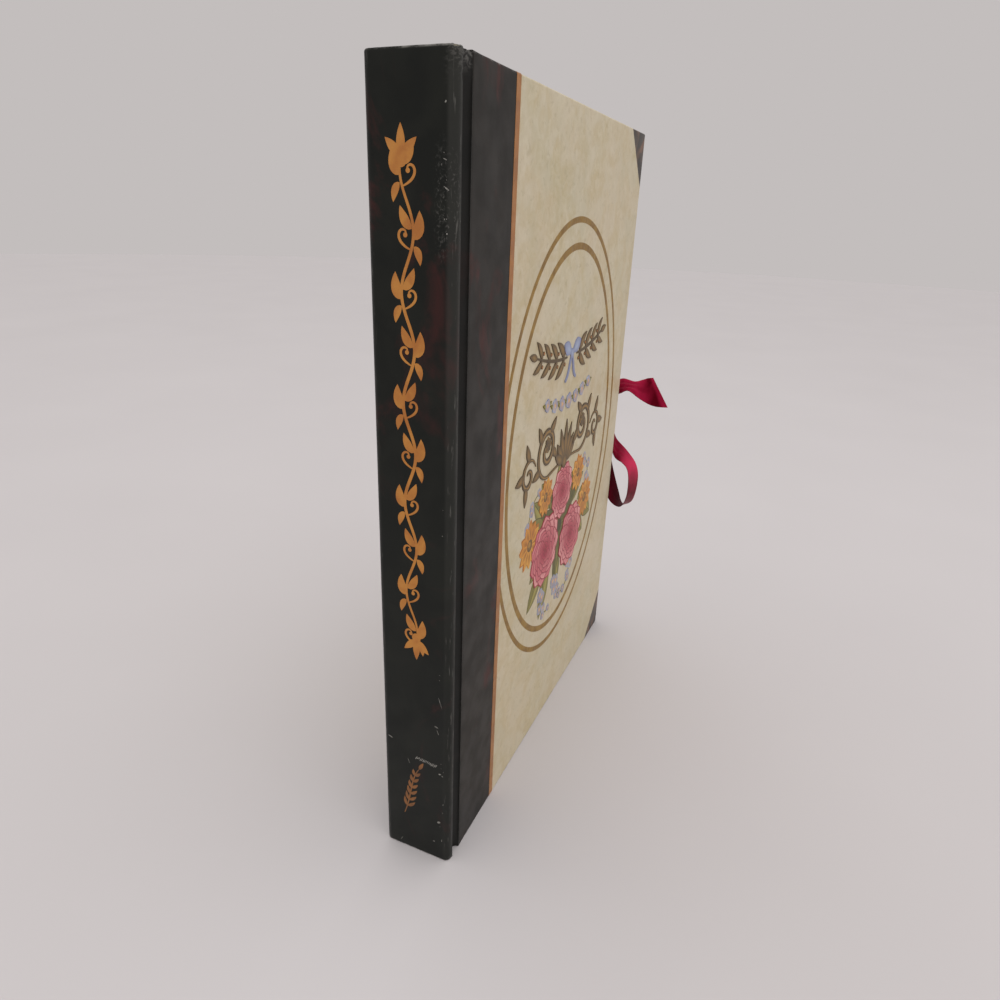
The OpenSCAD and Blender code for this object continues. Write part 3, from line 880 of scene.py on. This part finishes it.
# Flower posy inside the oval, in generic garden flowers placed from its middle
POSY_U, POSY_V = 120.0, 104.0
DEEP_PINK, MID_PINK, PALE_PINK = lin("#7a0f26"), lin("#b93a54"), lin("#e3a19f")
AMBER, SUN, BROWN = lin("#c0721a"), lin("#dfa33c"), lin("#573c20")
DARK_LEAF, LEAF, PALE_LEAF = lin("#3b3816"), lin("#6d682a"), lin("#a0944a")
BLUE, PALE_BLUE = lin("#64759a"), lin("#a0acc4")
INK_BROWN, INK_GOLD, INK_BLUE = lin("#4f3d26"), lin("#8d6b36"), lin("#7f86a8")
OUTER_LEAVES, FILLING_LEAVES = 17, 15
SPRIGS = ((-36, 10, 2.6, 42, -0.008), (36, 8, 0.55, 42, 0.008), (-18, -14, 4.0, 32, 0.010),
          (20, -14, 5.4, 32, -0.010), (-2, -16, 4.7, 24, 0.006))      # start, heading, length, bend
DAISIES = ((-42, 16, 12, 12), (42, 11, 11.5, 12), (-24, 34, 9.5, 10), (26, 31, 10, 11))
BLOOMS = ((1, 29, 15), (-20, 4, 19), (20, -3, 18))
posy = Print(on_cover)
for k in range(OUTER_LEAVES):
    turn = pi * (0.03 + 1.94 * k / (OUTER_LEAVES - 1)) + pi / 2
    reach = 19 + 7 * cos(3 * turn)
    u, v = POSY_U + 1.35 * reach * cos(turn), POSY_V + 9 + 0.72 * reach * sin(turn)
    veined_leaf(posy, u, v, turn + random.uniform(-0.25, 0.25), random.uniform(20, 28),
                random.uniform(9, 11.5), DARK_LEAF, shade(LEAF, PALE_LEAF, random.uniform(0, 0.4)),
                PALE_LEAF, random.uniform(-0.3, 0.3))
posy.dot(POSY_U, POSY_V + 12, 10, DARK_LEAF)
for k in range(FILLING_LEAVES):
    turn = tau * k / FILLING_LEAVES
    veined_leaf(posy, *polar(POSY_U, POSY_V + 10, 3, turn), turn, random.uniform(24, 30),
                random.uniform(8, 10), DARK_LEAF, shade(DARK_LEAF, LEAF, 0.55),
                shade(LEAF, PALE_LEAF, random.uniform(0.1, 0.6)), random.uniform(-0.3, 0.3))
for u, v, heading, length, bend in SPRIGS:
    stem = curl(POSY_U + u, POSY_V + v, heading, length, bend, 2.2 * bend)
    flower_sprig(posy, stem, LEAF, BLUE, PALE_BLUE, SUN, 4.2)
for u, v, r, petals in DAISIES:
    daisy(posy, POSY_U + u, POSY_V + v, r * 1.06, petals, shade(AMBER, BROWN, 0.4), AMBER, BROWN)
    daisy(posy, POSY_U + u, POSY_V + v, r, petals, AMBER, SUN, BROWN)
for u, v, r in BLOOMS:
    bloom(posy, POSY_U + u, POSY_V + v, r, 11, 6, DEEP_PINK, MID_PINK, PALE_PINK)

# Laurel sprays tied with a bow, a row of small blue flowers and a leafy scroll, above the posy
MIDDLE = OVAL[0]
SPRAY_OUT, SPRAY_Z = (7.0, 46.0), (202.0, 207.5)        # start and end of a laurel spray
BOW = (MIDDLE, 203.0)
ROW_HALF, ROW_Z = 30.0, (180.0, 184.0)                  # the floret row's middle and ends
SCROLL_Z = 153.0
FAN_Z = SCROLL_Z - 4


def volute(way, out, v, r_from, r_to, start, turns, n=44):
    """A spiral about a point to one side of the middle, from one radius to another."""
    points = []
    for k in range(n + 1):
        r = lerp(r_from, r_to, (k / n) ** 0.8)
        u, height = polar(out, v, r, start + tau * turns * k / n)
        points.append((MIDDLE + way * u, height))
    return points


for way in (1, -1):
    spray = [(MIDDLE + way * lerp(*SPRAY_OUT, k / 20), lerp(*SPRAY_Z, (k / 20) ** 2)) for k in range(21)]
    posy.stroke(spray, 1.5, INK_BROWN, 0.5)
    for k in range(2, 20, 5):
        along, size = direction(spray, k - 1, k + 1), lerp(14.0, 10.5, k / 20)
        for hand in (1, -1):
            posy.leaf(*spray[k], along + hand * 1.0, size, 0.3 * size, INK_BROWN, INK_GOLD,
                      bend=-hand * 0.35)
            posy.dot(*polar(*spray[k], 3.0, along + hand * 1.9), 0.9, BROWN, AMBER)
    posy.leaf(*spray[-1], along, 9, 3.4, INK_BROWN, INK_GOLD)
    stem = volute(way, 26, SCROLL_Z + 9, 14, 2.5, -pi / 2 - 0.15, 1.55)
    stem = [(lerp(MIDDLE, stem[0][0], t), lerp(SCROLL_Z - 3, stem[0][1], t ** 2))
            for t in (0.0, 0.3, 0.65)] + stem
    branch = volute(way, 49, SCROLL_Z + 3, 9, 1.8, pi - 0.3, -1.35, 32)
    for line, wide, bright in ((stem, 3.6, 1.3), (branch, 2.8, 1.0)):
        posy.stroke(line, wide, INK_BROWN)
        posy.stroke(line, bright, INK_GOLD)
    for line, hand, places in ((stem, -way, (7, 13, 19, 25)), (branch, way, (4, 9, 14))):
        for k in places:
            out = direction(line, k, k + 1) + 0.7 * hand
            posy.leaf(*line[k], out, 9.5, 4.4, INK_BROWN, INK_GOLD, bend=0.4 * hand)
    daisy(posy, *stem[-1], 4.2, 8, INK_BROWN, INK_GOLD, INK_BROWN)
for k in range(7):
    turn = pi * (0.16 + 0.68 * k / 6)
    posy.leaf(MIDDLE + 3 * cos(turn), FAN_Z, turn, 13 + 9 * sin(turn) ** 4, 5.4,
              INK_BROWN, INK_GOLD)
posy.dot(MIDDLE, FAN_Z, 3.6, INK_BROWN, INK_GOLD)
for turn in (0.42, pi - 0.42):
    posy.leaf(*BOW, turn, 13, 6.5, INK_BLUE, PALE_BLUE, 1.3)
for hand in (1, -1):
    tail = curl(*BOW, -pi / 2 + hand * 0.6, 15, -hand * 0.008, hand * 0.04, n=14)
    posy.stroke(tail, 2.2, INK_BLUE, 0.6)
posy.dot(*BOW, 2.3, INK_BLUE, PALE_BLUE)
for k in range(-3, 4):
    u, v = MIDDLE + ROW_HALF * k / 3, lerp(*ROW_Z, (k / 3) ** 2)
    for turn in (0.35, pi - 0.35):
        posy.leaf(u, v - 1, turn, 6.0, 2.2, LEAF, PALE_LEAF)
    daisy(posy, u, v, 4.2 - 0.3 * abs(k), 5, INK_BLUE, PALE_BLUE, SUN)
posy.object("front_posy_print", POSY_LOOK, "front_cover")

# Spine ornament: a leafy scroll up most of the spine, and a small sprig near the tail
VINE = (104.0, 283.0)
VINE_END = 5.0          # how far the stem stops short of each end
VINE_X, VINE_SWING, VINE_WAVES = -1.0, 2.3, 5
SPRIG_AT, SPRIG_TURN, SPRIG_L = (-6.0, 19.5), 1.22, 28.0         # foot, heading and length of the sprig
UP = pi / 2
vine = Print(on_spine)


def vine_x(z):
    return VINE_X + VINE_SWING * sin(tau * VINE_WAVES * (z - VINE[0]) / (VINE[1] - VINE[0]))


vine.stroke([(vine_x(z), z) for z in spread(VINE[0] + VINE_END, VINE[1] - VINE_END, 150)], 1.2, taper=0.6)
for k in range(2 * VINE_WAVES):
    z = lerp(*VINE, (k + 0.5) / (2 * VINE_WAVES))
    x, hand = vine_x(z), -1 if k % 2 else 1
    vine.leaf(x, z - 2, UP - hand * 0.75, 8.6, 3.8, bend=hand * 0.5)
    vine.leaf(x - hand * 0.6, z + 1, UP + hand * 0.95, 7.8, 3.2, bend=-hand * 0.4)
    vine.leaf(x, z - 4, -UP + hand * 0.9, 6.0, 2.6, bend=-hand * 0.5)
    hook = curl(x - hand * 1.0, z - 5, UP + hand * 1.2, 11, -hand * 0.01, -hand * 0.2)
    vine.stroke(hook, 0.9, taper=0.4)
    vine.dot(*hook[-1], 0.75)
for z, way in ((VINE[0] + VINE_END, -1), (VINE[1] - VINE_END, 1)):
    for turn in (-0.8, 0.0, 0.8):
        vine.leaf(vine_x(z), z - way, way * UP + turn, 7.5 if turn else 9, 3.0)
    vine.dot(vine_x(z), z - 2 * way, 1.9)
vine.object("spine_scroll_print", SPINE_GOLD_LOOK, "text_block")
sprig = Print(on_spine)
stem = curl(*SPRIG_AT, SPRIG_TURN, SPRIG_L, 0.003, -0.010)
sprig.stroke(stem, 0.7, taper=0.4)
for k, (x, z) in enumerate(stem[5:29:4]):
    for hand in (1, -1):
        sprig.leaf(x, z, 1.25 + hand * 0.85, 5.2 - 0.35 * k, 1.5, bend=-hand * 0.3)
sprig.leaf(*stem[-1], 1.1, 4.5, 1.6)
sprig.object("spine_sprig_print", DIM_COPPER_LOOK, "text_block")

# Scuffs on the spine, each with its x, z, length, width and angle in degrees
SCUFFS = ((-12.3, 58.7, 2.8, 0.6, -20), (11.2, 84, 5.5, 0.28, -72), (9.5, 71.5, 2.2, 0.7, -15),
          (10.2, 69, 3.2, 0.4, -70), (11.2, 47.8, 1.6, 0.7, 10), (12.4, 47.2, 1.2, 0.7, -60),
          (10.8, 21.2, 1.9, 1.1, 30), (-7.8, 3.4, 3.0, 0.4, 62), (8.5, 9.4, 1.3, 0.5, 0),
          (12.2, 291, 0.9, 0.7, 70), (12.7, 268.6, 2.2, 0.5, -30), (12.0, 276.4, 1.6, 0.4, -20),
          (12.8, 256.3, 0.7, 0.6, 0), (12.3, 11.5, 2.0, 0.4, 80), (-3.5, 49, 3.2, 0.22, -68))
TICKS, TICK_X, TICK_Z = 15, (0.2, 9.4), (52.4, 51.2)     # a row of short rubbed ticks
SPECKS = 16
CLUSTERS = (24, 48, 88, 160, 254, 272, 286)             # heights where the front edge is specked
marks = Print(on_spine)


def scuff(x, z, length, width, angle):
    """A ragged flake."""
    a, n = radians(angle), 9
    outline = []
    for k in range(n):
        r, turn = random.uniform(0.6, 1.0), tau * k / n
        u, v = 0.5 * length * r * cos(turn), 0.5 * width * r * sin(turn)
        outline.append((x + u * cos(a) - v * sin(a), z + u * sin(a) + v * cos(a)))
    marks.add(outline, centre=(x, z))


for mark in SCUFFS:
    scuff(*mark)
for k in range(TICKS):
    t = k / (TICKS - 1)
    scuff(lerp(*TICK_X, t), lerp(*TICK_Z, t) + random.uniform(-0.2, 0.2), random.uniform(1.6, 2.6), 0.5, 62)
for k in range(SPECKS):
    cluster = CLUSTERS[k % len(CLUSTERS)]
    scuff(random.triangular(10.0, 13.0, 12.7), random.gauss(cluster, 7), random.uniform(0.25, 0.8),
          random.uniform(0.15, 0.4), random.uniform(0, 180))
marks.object("spine_scuffs", SCUFF_LOOK, "text_block")

# Gilt lines round the windows of the mats, and a border with hollow corners
BIG_WINDOW, SMALL_WINDOW, WINDOW_BAR = (104.0, 158.0), (60.0, 92.0), 22.0
SLIT_DROP = 9.0         # how much lower the lines reach, round the slit under a window
LINE_OFF, BORDER, NOTCH = 3.0, 6.0, 9.0
LINES = ((0.0, 0.9), (1.8, 0.36))       # a thick and a thin line: how far out or in, and how wide
PAGE_MID = (sum(PAGE[0]) / 2, ALBUM_H / 2)


def arch(mid, size, off, n=28):
    """Outline of an arched window, moved outwards."""
    w, h = size[0] / 2 + off, size[1] / 2 + off
    left, right, foot = mid[0] - w, mid[0] + w, mid[1] - h
    spring = mid[1] + size[1] / 2 - size[0] / 2
    points = [(left, spring), (left, foot), (right, foot), (right, spring)]
    return points + [polar(mid[0], spring, w, pi * k / n) for k in range(1, n)]


def notched(inset, n=8):
    """The page's border line: a rectangle whose corners are hollowed out by a circle."""
    centres = [(PAGE[0][i] + (1 - 2 * i) * BORDER, PAGE[1][j] + (1 - 2 * j) * BORDER)
               for i, j in ((0, 0), (1, 0), (1, 1), (0, 1))]
    r = NOTCH + inset - BORDER
    skip = asin((inset - BORDER) / r)
    turns = spread(skip, pi / 2 - skip, n)
    return [polar(*c, r, (1 + q) * pi / 2 - a) for q, c in enumerate(centres) for a in turns]


def page_windows(k):
    """Middle and size of each window on a leaf: one large one, or four small ones."""
    if k % 2:
        return [(PAGE_MID, BIG_WINDOW)]
    du, dv = [(s + WINDOW_BAR) / 2 for s in SMALL_WINDOW]
    return [((PAGE_MID[0] + i * du, PAGE_MID[1] + j * dv), SMALL_WINDOW) for i in (-1, 1) for j in (-1, 1)]


def gilt_page(node, sign, k):
    face = span(node)[0][1 if sign > 0 else 0]
    page = Print(lambda u, v, h: (face + sign * h, u, v), sign < 0)
    for mid, size in page_windows(k):
        low, tall = (mid[0], mid[1] - SLIT_DROP / 2), (size[0], size[1] + SLIT_DROP)
        for off, width in LINES:
            off += LINE_OFF
            page.band(arch(low, tall, off), arch(low, tall, off + width), closed=True)
    for inset, width in LINES:
        page.band(notched(BORDER + inset + width), notched(BORDER + inset), closed=True)
    page.object(node + "_gilt", GILT_LOOK, "leaf_%d" % k)


for k in range(1, LEAF_COUNT + 1):
    gilt_page("leaf_%d_recto_mat" % k, 1, k)
    gilt_page("leaf_%d_verso_mat" % k, -1, k)

# Linen hinges and free endpapers: sheets that are finely divided where they leave the stubs
FLY_BEND, FLY_T = 3.0, 0.28         # length of an endpaper that bends as it turns, and thickness
LEAF_BEND = (8.0, 13.0, 16.0)       # bending length of the first leaves, which turn furthest
LINEN_T = 0.4
WAVE = 0.1                          # how far a sheet waves off its plane


def bending_sheet(node, bend, thick, wave, flat_rows, look):
    """A sheet in a node's place, finely divided over its first stretch and waved slightly off its plane;
    also its flat size.
    """
    lo, hi = (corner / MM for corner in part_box(node))
    x, root, end = (lo.x + hi.x) / 2, lo.y - SPINE_Y, hi.y - SPINE_Y
    axis = root + (hi.x - lo.x) / 2
    bent_rows, up = 28, 36
    rows = spread(root, axis + bend, bent_rows)[:-1] + spread(axis + bend, end, flat_rows)
    verts = []
    for d in rows:
        lift = WAVE * wave((d - axis) / bend)
        verts += [(x + lift * rough(0, d, z, 26, x), d, z) for z in spread(lo.z, hi.z, up)]
    sheet = new_object(node + "_sheet", verts, grid(len(rows), up + 1), look, 60)
    thicken(sheet, thick, 0)
    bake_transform(sheet)
    stand_in(node)
    return sheet, ((end - root) * MM, (hi.z - lo.z) * MM)


for k in range(1, LEAF_COUNT + 1):
    bare = PAGE[0][0] - span("leaf_%d_hinge" % k)[1][0]
    bend = LEAF_BEND[k - 1] if k <= len(LEAF_BEND) else bare - 0.4
    linen, flat = bending_sheet("leaf_%d_hinge" % k, bend, LINEN_T, swell, 4,
                                LINEN_LOOK)
for side, sign in SIDES:
    leaf = side + "_flyleaf"
    bending_sheet(leaf, FLY_BEND, FLY_T, ease, 40, END_LOOK)

# Headband and tailband: a bead wound with thread on a strip of cloth
BEAD_R = 1.1


def wound_band(node, end):
    (x0, x1), (d0, d1), (z0, z1) = span(node)
    d_mid, z_mid = d1 - BEAD_R, (z1 if end > 0 else z0) - end * BEAD_R
    turns, per_turn, around = 29, 6, 16
    count = turns * per_turn
    verts = []
    for i in range(count + 1):
        ridge = abs(sin(pi * i / per_turn)) ** 0.7
        r = BEAD_R * (0.86 + 0.14 * ridge) * (0.55 if i in (0, count) else 1)
        x = lerp(x0, x1, i / count)
        verts += [(x, *polar(d_mid, z_mid, r, tau * j / around)) for j in range(around)]
    bead = new_object("bead", verts, capped(count + 1, around))
    skirt = block((x0, x1), (d0, d0 + 0.4), (z0, z_mid) if end > 0 else (z_mid, z1))
    piece = dressed(joined(node + "_wound", bead, skirt), BAND_LOOK, 50)
    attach(piece, "text_block")
    stand_in(node)


wound_band("headband", 1)
wound_band("tailband", -1)

# Ribbon tie, along the points of the part's source
PLEATS = 3
GATHERED = 0.28         # share of the ribbon's width where it is gathered at the knot
# x past the knot's side, d past the fore-edge, height above the tie, width vector, share of width
LOOP = ((3.6, 9, -2.8, 0, 1, 0, GATHERED), (5, 10, -15, -0.1, 0.8, 0.6, 0.75),
        (9.5, 10, -27, -0.15, 0.75, 0.65, 0.9), (16.5, 10.5, -33, 0, 0.95, 0.2, 1),
        (21.5, 11, -39, 0.15, 0.95, -0.05, 1), (23.5, 11, -48, 0.2, 0.95, -0.2, 1),
        (22.5, 10.5, -61, 0.1, 0.9, -0.4, 1), (17.5, 10.5, -66.5, -0.1, 0.95, -0.2, 1),
        (12, 10, -60, 0.1, 0.95, 0.2, 1), (7, 10, -47, 0.1, 0.8, 0.55, 1),
        (3.5, 9.5, -27, 0, 0.85, 0.5, 0.85), (1.2, 9, -2.8, 0, 1, 0, GATHERED))
FRONT_TAIL = ((2.4, 9, 2.8, 0, 1, 0, GATHERED), (5, 10, 9.5, -0.1, 0.75, 0.65, 0.65),
              (9.5, 10, 13, -0.15, 0.7, 0.7, 0.73), (16, 10.5, 13.5, 0.1, 0.9, 0.4, 0.7),
              (23, 11, 12, -0.1, 0.5, 0.85, 0.9), (28.5, 11.5, 11, -0.35, 0.1, 0.9, 1.2),
              (34, 11.5, 11.5, -0.55, 0, 0.85, 1.37))
BACK_TAIL = ((2.4, 9, 2.8, 0, 1, 0, GATHERED), (5, 11.5, 8, 0.5, 0.8, 0.3, 0.5),
             (9, 16, 5.5, 0.8, 0.5, 0.3, 0.75), (11.5, 19.5, -5, 0.9, 0.2, 0.3, 0.95),
             (13, 20, -20, 0.95, 0.1, 0.2, 1), (14, 20, -33, 0.9, 0, 0.35, 1.1))
RIBBON_X = TURNED_IN - 0.175
GLUED_END = ALBUM_W - 3.0
GLUED = 35.0
GATHER_X = KNOT_HALF + KNOT_GAP + 3.3
GATHER_MID, GATHER_D, GATHER_Z = 7.35, 2.6, 4.6         # middle and half sizes of the gathers
KNOT_HALVES = (KNOT_HALF, 3.3, 5.0)


def strap_points():
    """From the glued end inside the cover out to the knot."""
    points = [(RIBBON_X, d, TIE_Z, 0, 0, 1, 1) for d in spread(GLUED_END - GLUED, GLUED_END, 3)]
    points.append((RIBBON_X - 0.3, ALBUM_W + 1.2, TIE_Z, 0, 0, 1, 1))
    points.append((RIBBON_X - 2, ALBUM_W + 5, TIE_Z, 0, 0, 1, 0.85))
    return points + [(GATHER_X, KNOT_D, TIE_Z, 0, 0, 1, GATHERED)]


def tied(points):
    return [(p[0] + KNOT_HALF + KNOT_GAP, p[1] + ALBUM_W, p[2] + TIE_Z, *p[3:]) for p in points]


def smooth_curve(points, steps=9):
    """A smooth line through the points."""
    curve, last = [], len(points) - 1
    for i in range(last):
        quad = [points[max(i - 1, 0)], points[i], points[i + 1], points[min(i + 2, last)]]
        for s in range(steps):
            t = s / steps
            curve.append([0.5 * (2 * b + (c - a) * t + (2 * a - 5 * b + 4 * c - e) * t * t
                                 + (3 * b - a - 3 * c + e) * t ** 3) for a, b, c, e in zip(*quad)])
    return curve + [list(points[last])]


def loop_painted_light(t, s):
    """Painted highlight and shade of the bow's loop: a painted highlight on its upper bend, painted shade
    below.
    """
    return 0.08 + 0.78 * exp(-((t - 0.35) / 0.09) ** 2) + 0.05 * s


def tail_painted_light(t, s):
    """Painted highlight and shade of a tail: painted shade in its middle, a painted highlight along one
    edge and at the cut end.
    """
    lit = ease((t - 0.3) / 0.2) * (1 - ease((t - 0.6) / 0.25))
    return 0.08 + 0.3 * lit + 0.2 * ease(s) + 0.5 * ease((t - 0.88) / 0.06)


def strip(points, painted_light, columns=36):
    """Rows of points across a ribbon, pleated where it is gathered; also its length and its painted
    highlight and shade.
    """
    curve = smooth_curve(points)
    path = [Vector(p[:3]) for p in curve]
    rows, painted_lustre, length, last = [], [], 0.0, len(curve) - 1
    for i, p in enumerate(curve):
        middle, wide, share = path[i], Vector(p[3:6]).normalized(), p[6]
        before, after = path[max(i - 1, 0)], path[min(i + 1, last)]
        length += (middle - before).length
        up = (after - before).normalized().cross(wide).normalized()
        width = RIBBON_W * share
        full, half_wave = RIBBON_W / (2 * PLEATS), width / (2 * PLEATS)
        loose = 1 - 0.8 * ease((share - 0.4) / 0.4)
        depth = 0.5 * sqrt(max(full ** 2 - half_wave ** 2, 0)) * loose
        row = []
        for s in spread(-1, 1, columns):
            ridge = sin(PLEATS * pi * s)
            fold = depth * ridge * (0.8 + 0.2 * cos(2.3 * s + 0.4))
            row.append(middle + wide * (0.5 * width * s) + up * fold)
            # Painted highlight on the pleats' ridges and painted shade in their hollows, on top of the
            # part's painted light.
            painted_lustre.append(painted_light(i / last, s) + 0.12 * ridge * min(depth, 1))
        rows.append(row)
    return rows, length, painted_lustre


def ribbon(name, parts, sign):
    """Strap, loop and tail as one piece; also their whole length."""
    verts, faces, painted_shine, total = [], [], [], 0.0
    for points, painted_light in zip(parts, (lambda t, s: 0.3, loop_painted_light, tail_painted_light)):
        rows, length, painted_lustre = strip(points, painted_light)
        base, cols = len(verts), len(rows[0])
        total += length
        verts += [(sign * v.x, v.y, v.z) for row in rows for v in row]
        faces += [tuple(base + i for i in f) for f in grid(len(rows), cols, flip=sign < 0)]
        painted_shine += painted_lustre
    obj = new_object(name, verts, faces, SATIN_BACK_LOOK, 80)
    obj.data.materials.append(SATIN_LOOK)
    # Painted highlight and shade, carried by the mesh for the satin to read.
    paint(obj, "painted_lustre", [(v, v, v) for v in painted_shine])
    return thicken(obj, RIBBON_T, 0, even=False, back=1, sharp=80), total


def wrapped(name, x, halves, along, creases):
    """A knot or gather: a rounded barrel of wrapped ribbon with creases. along is its axis, X or Z."""
    rows, cols = 34, 56
    centre = (x, KNOT_D, TIE_Z)
    verts = []
    for i in range(rows):
        t = sin(pi * (i / (rows - 1) - 0.5))
        rim = max(1 - abs(t) ** 3.2, 0.0) ** 0.45
        for j in range(cols):
            a = tau * j / cols
            ring = polar(0, 0, rim * (1 + creases(a, t)), a)
            local = (t, *ring) if along == "X" else (*ring, t)
            verts.append([m + half * c for m, half, c in zip(centre, halves, local)])
    inner = verts[cols:-cols]
    n = len(inner)
    ends = [[sum(c) / cols for c in zip(*ring)] for ring in (verts[:cols], verts[-cols:])]
    faces = grid(rows - 2, cols, wrap=True)
    faces += [(j, n, (j + 1) % cols) for j in range(cols)]
    faces += [(n - cols + (j + 1) % cols, n + 1, n - cols + j) for j in range(cols)]
    obj = new_object(name, inner + ends, faces, SATIN_LOOK, 80)
    # Painted highlight on the creases' ridges and painted shade in their hollows.
    painted_shine = [0.35 + 3.5 * creases(tau * (i % cols) / cols, 0.5) for i in range(n + 2)]
    paint(obj, "painted_lustre", [(v, v, v) for v in painted_shine])
    return obj


def diagonal_folds(a, t):
    return 0.09 * sin(5 * a + 2.6 * t) + 0.05 * sin(9 * a - 3.4 * t)


def band_folds(a, t):
    return 0.05 * sin(8.5 * t + 0.9 * sin(a)) + 0.025 * sin(17 * t - 1.4 * cos(a))


for side, sign, tail, half in (("front", 1, FRONT_TAIL, 2.25), ("back", -1, BACK_TAIL, 2.6)):
    band, length = ribbon(side + "_ribbon_satin", (strap_points(), tied(LOOP), tied(tail)), sign)
    bundle = [wrapped(side + "_ribbon_gather", sign * GATHER_MID, (half, GATHER_D, GATHER_Z), "Z",
                      diagonal_folds)]
    if side == "back":
        bundle.append(wrapped("ribbon_knot", 0, KNOT_HALVES, "X", band_folds))
    for piece in (band, *bundle):
        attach(piece, side + "_cover")
    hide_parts(side + "_ribbon")

# Finishes of the CAD nodes; the first part found in a node's name counts
FINISHES = (("board", BOARD_LOOK), ("core", CORE_LOOK), ("hinge", LINEN_LOOK), ("pastedown", END_LOOK),
            ("flyleaf", END_LOOK), ("lining", KRAFT_LOOK), ("gauze", GAUZE_LOOK), ("band", BAND_LOOK),
            ("thread", THREAD_LOOK))
for name, obj in NODES.items():
    obj.data.materials.clear()
    obj.data.materials.append(next((look for part, look in FINISHES if part in name), MAT_LOOK))

# Floor, light and background
FLOOR_R, SPOKES = 4000.0, 96
FLOOR_MID = (0.0, 100.0 - SPINE_Y)
floor_look = Look("floor", roughness=0.9, specular=0.1)
floor_look.shader({"Base Color": floor_look.mix(floor_look.noise(180, 2), "#c3bebf", "#c8c3c4")})
rim = [polar(*FLOOR_MID, FLOOR_R, tau * k / SPOKES) for k in range(SPOKES)]
floor_faces = [(0, 1 + k, 1 + (k + 1) % SPOKES) for k in range(SPOKES)]
floor = new_object("floor", [(*p, 0) for p in (FLOOR_MID, *rim)], floor_faces, floor_look.mat)

world = bpy.data.worlds.new("studio")
bpy.context.scene.world = world
sky = Nodes(world)
sky.tree.nodes.clear()
ray = sky.node("LightPath")
direct = sky.node("Math", {0: ray["Is Camera Ray"], 1: ray["Is Glossy Ray"]}, operation="ADD",
                  use_clamp=True)
light = sky.node("Background", {"Color": (1.0, 0.985, 0.97, 1), "Strength": 1.0})
seen = sky.node("Background", {"Color": "#c3bebd", "Strength": 1.0})
mix = sky.node("MixShader", {0: direct[0], 1: light[0], 2: seen[0]})
sky.node("OutputWorld", {0: mix[0]})

LAMP_AT, LAMP_AIM = Vector((0.35, -0.1, 1.5)), Vector((0, 0.1, 0.15))
lamp_data = bpy.data.lights.new("overhead", "AREA")
lamp_data.shape, lamp_data.size, lamp_data.energy = "DISK", 1.2, 4
lamp = add_object("overhead", lamp_data)
lamp.location = LAMP_AT
lamp.rotation_euler = (LAMP_AIM - LAMP_AT).to_track_quat("-Z", "Y").to_euler()
bpy.context.scene.view_settings.view_transform = "Standard"
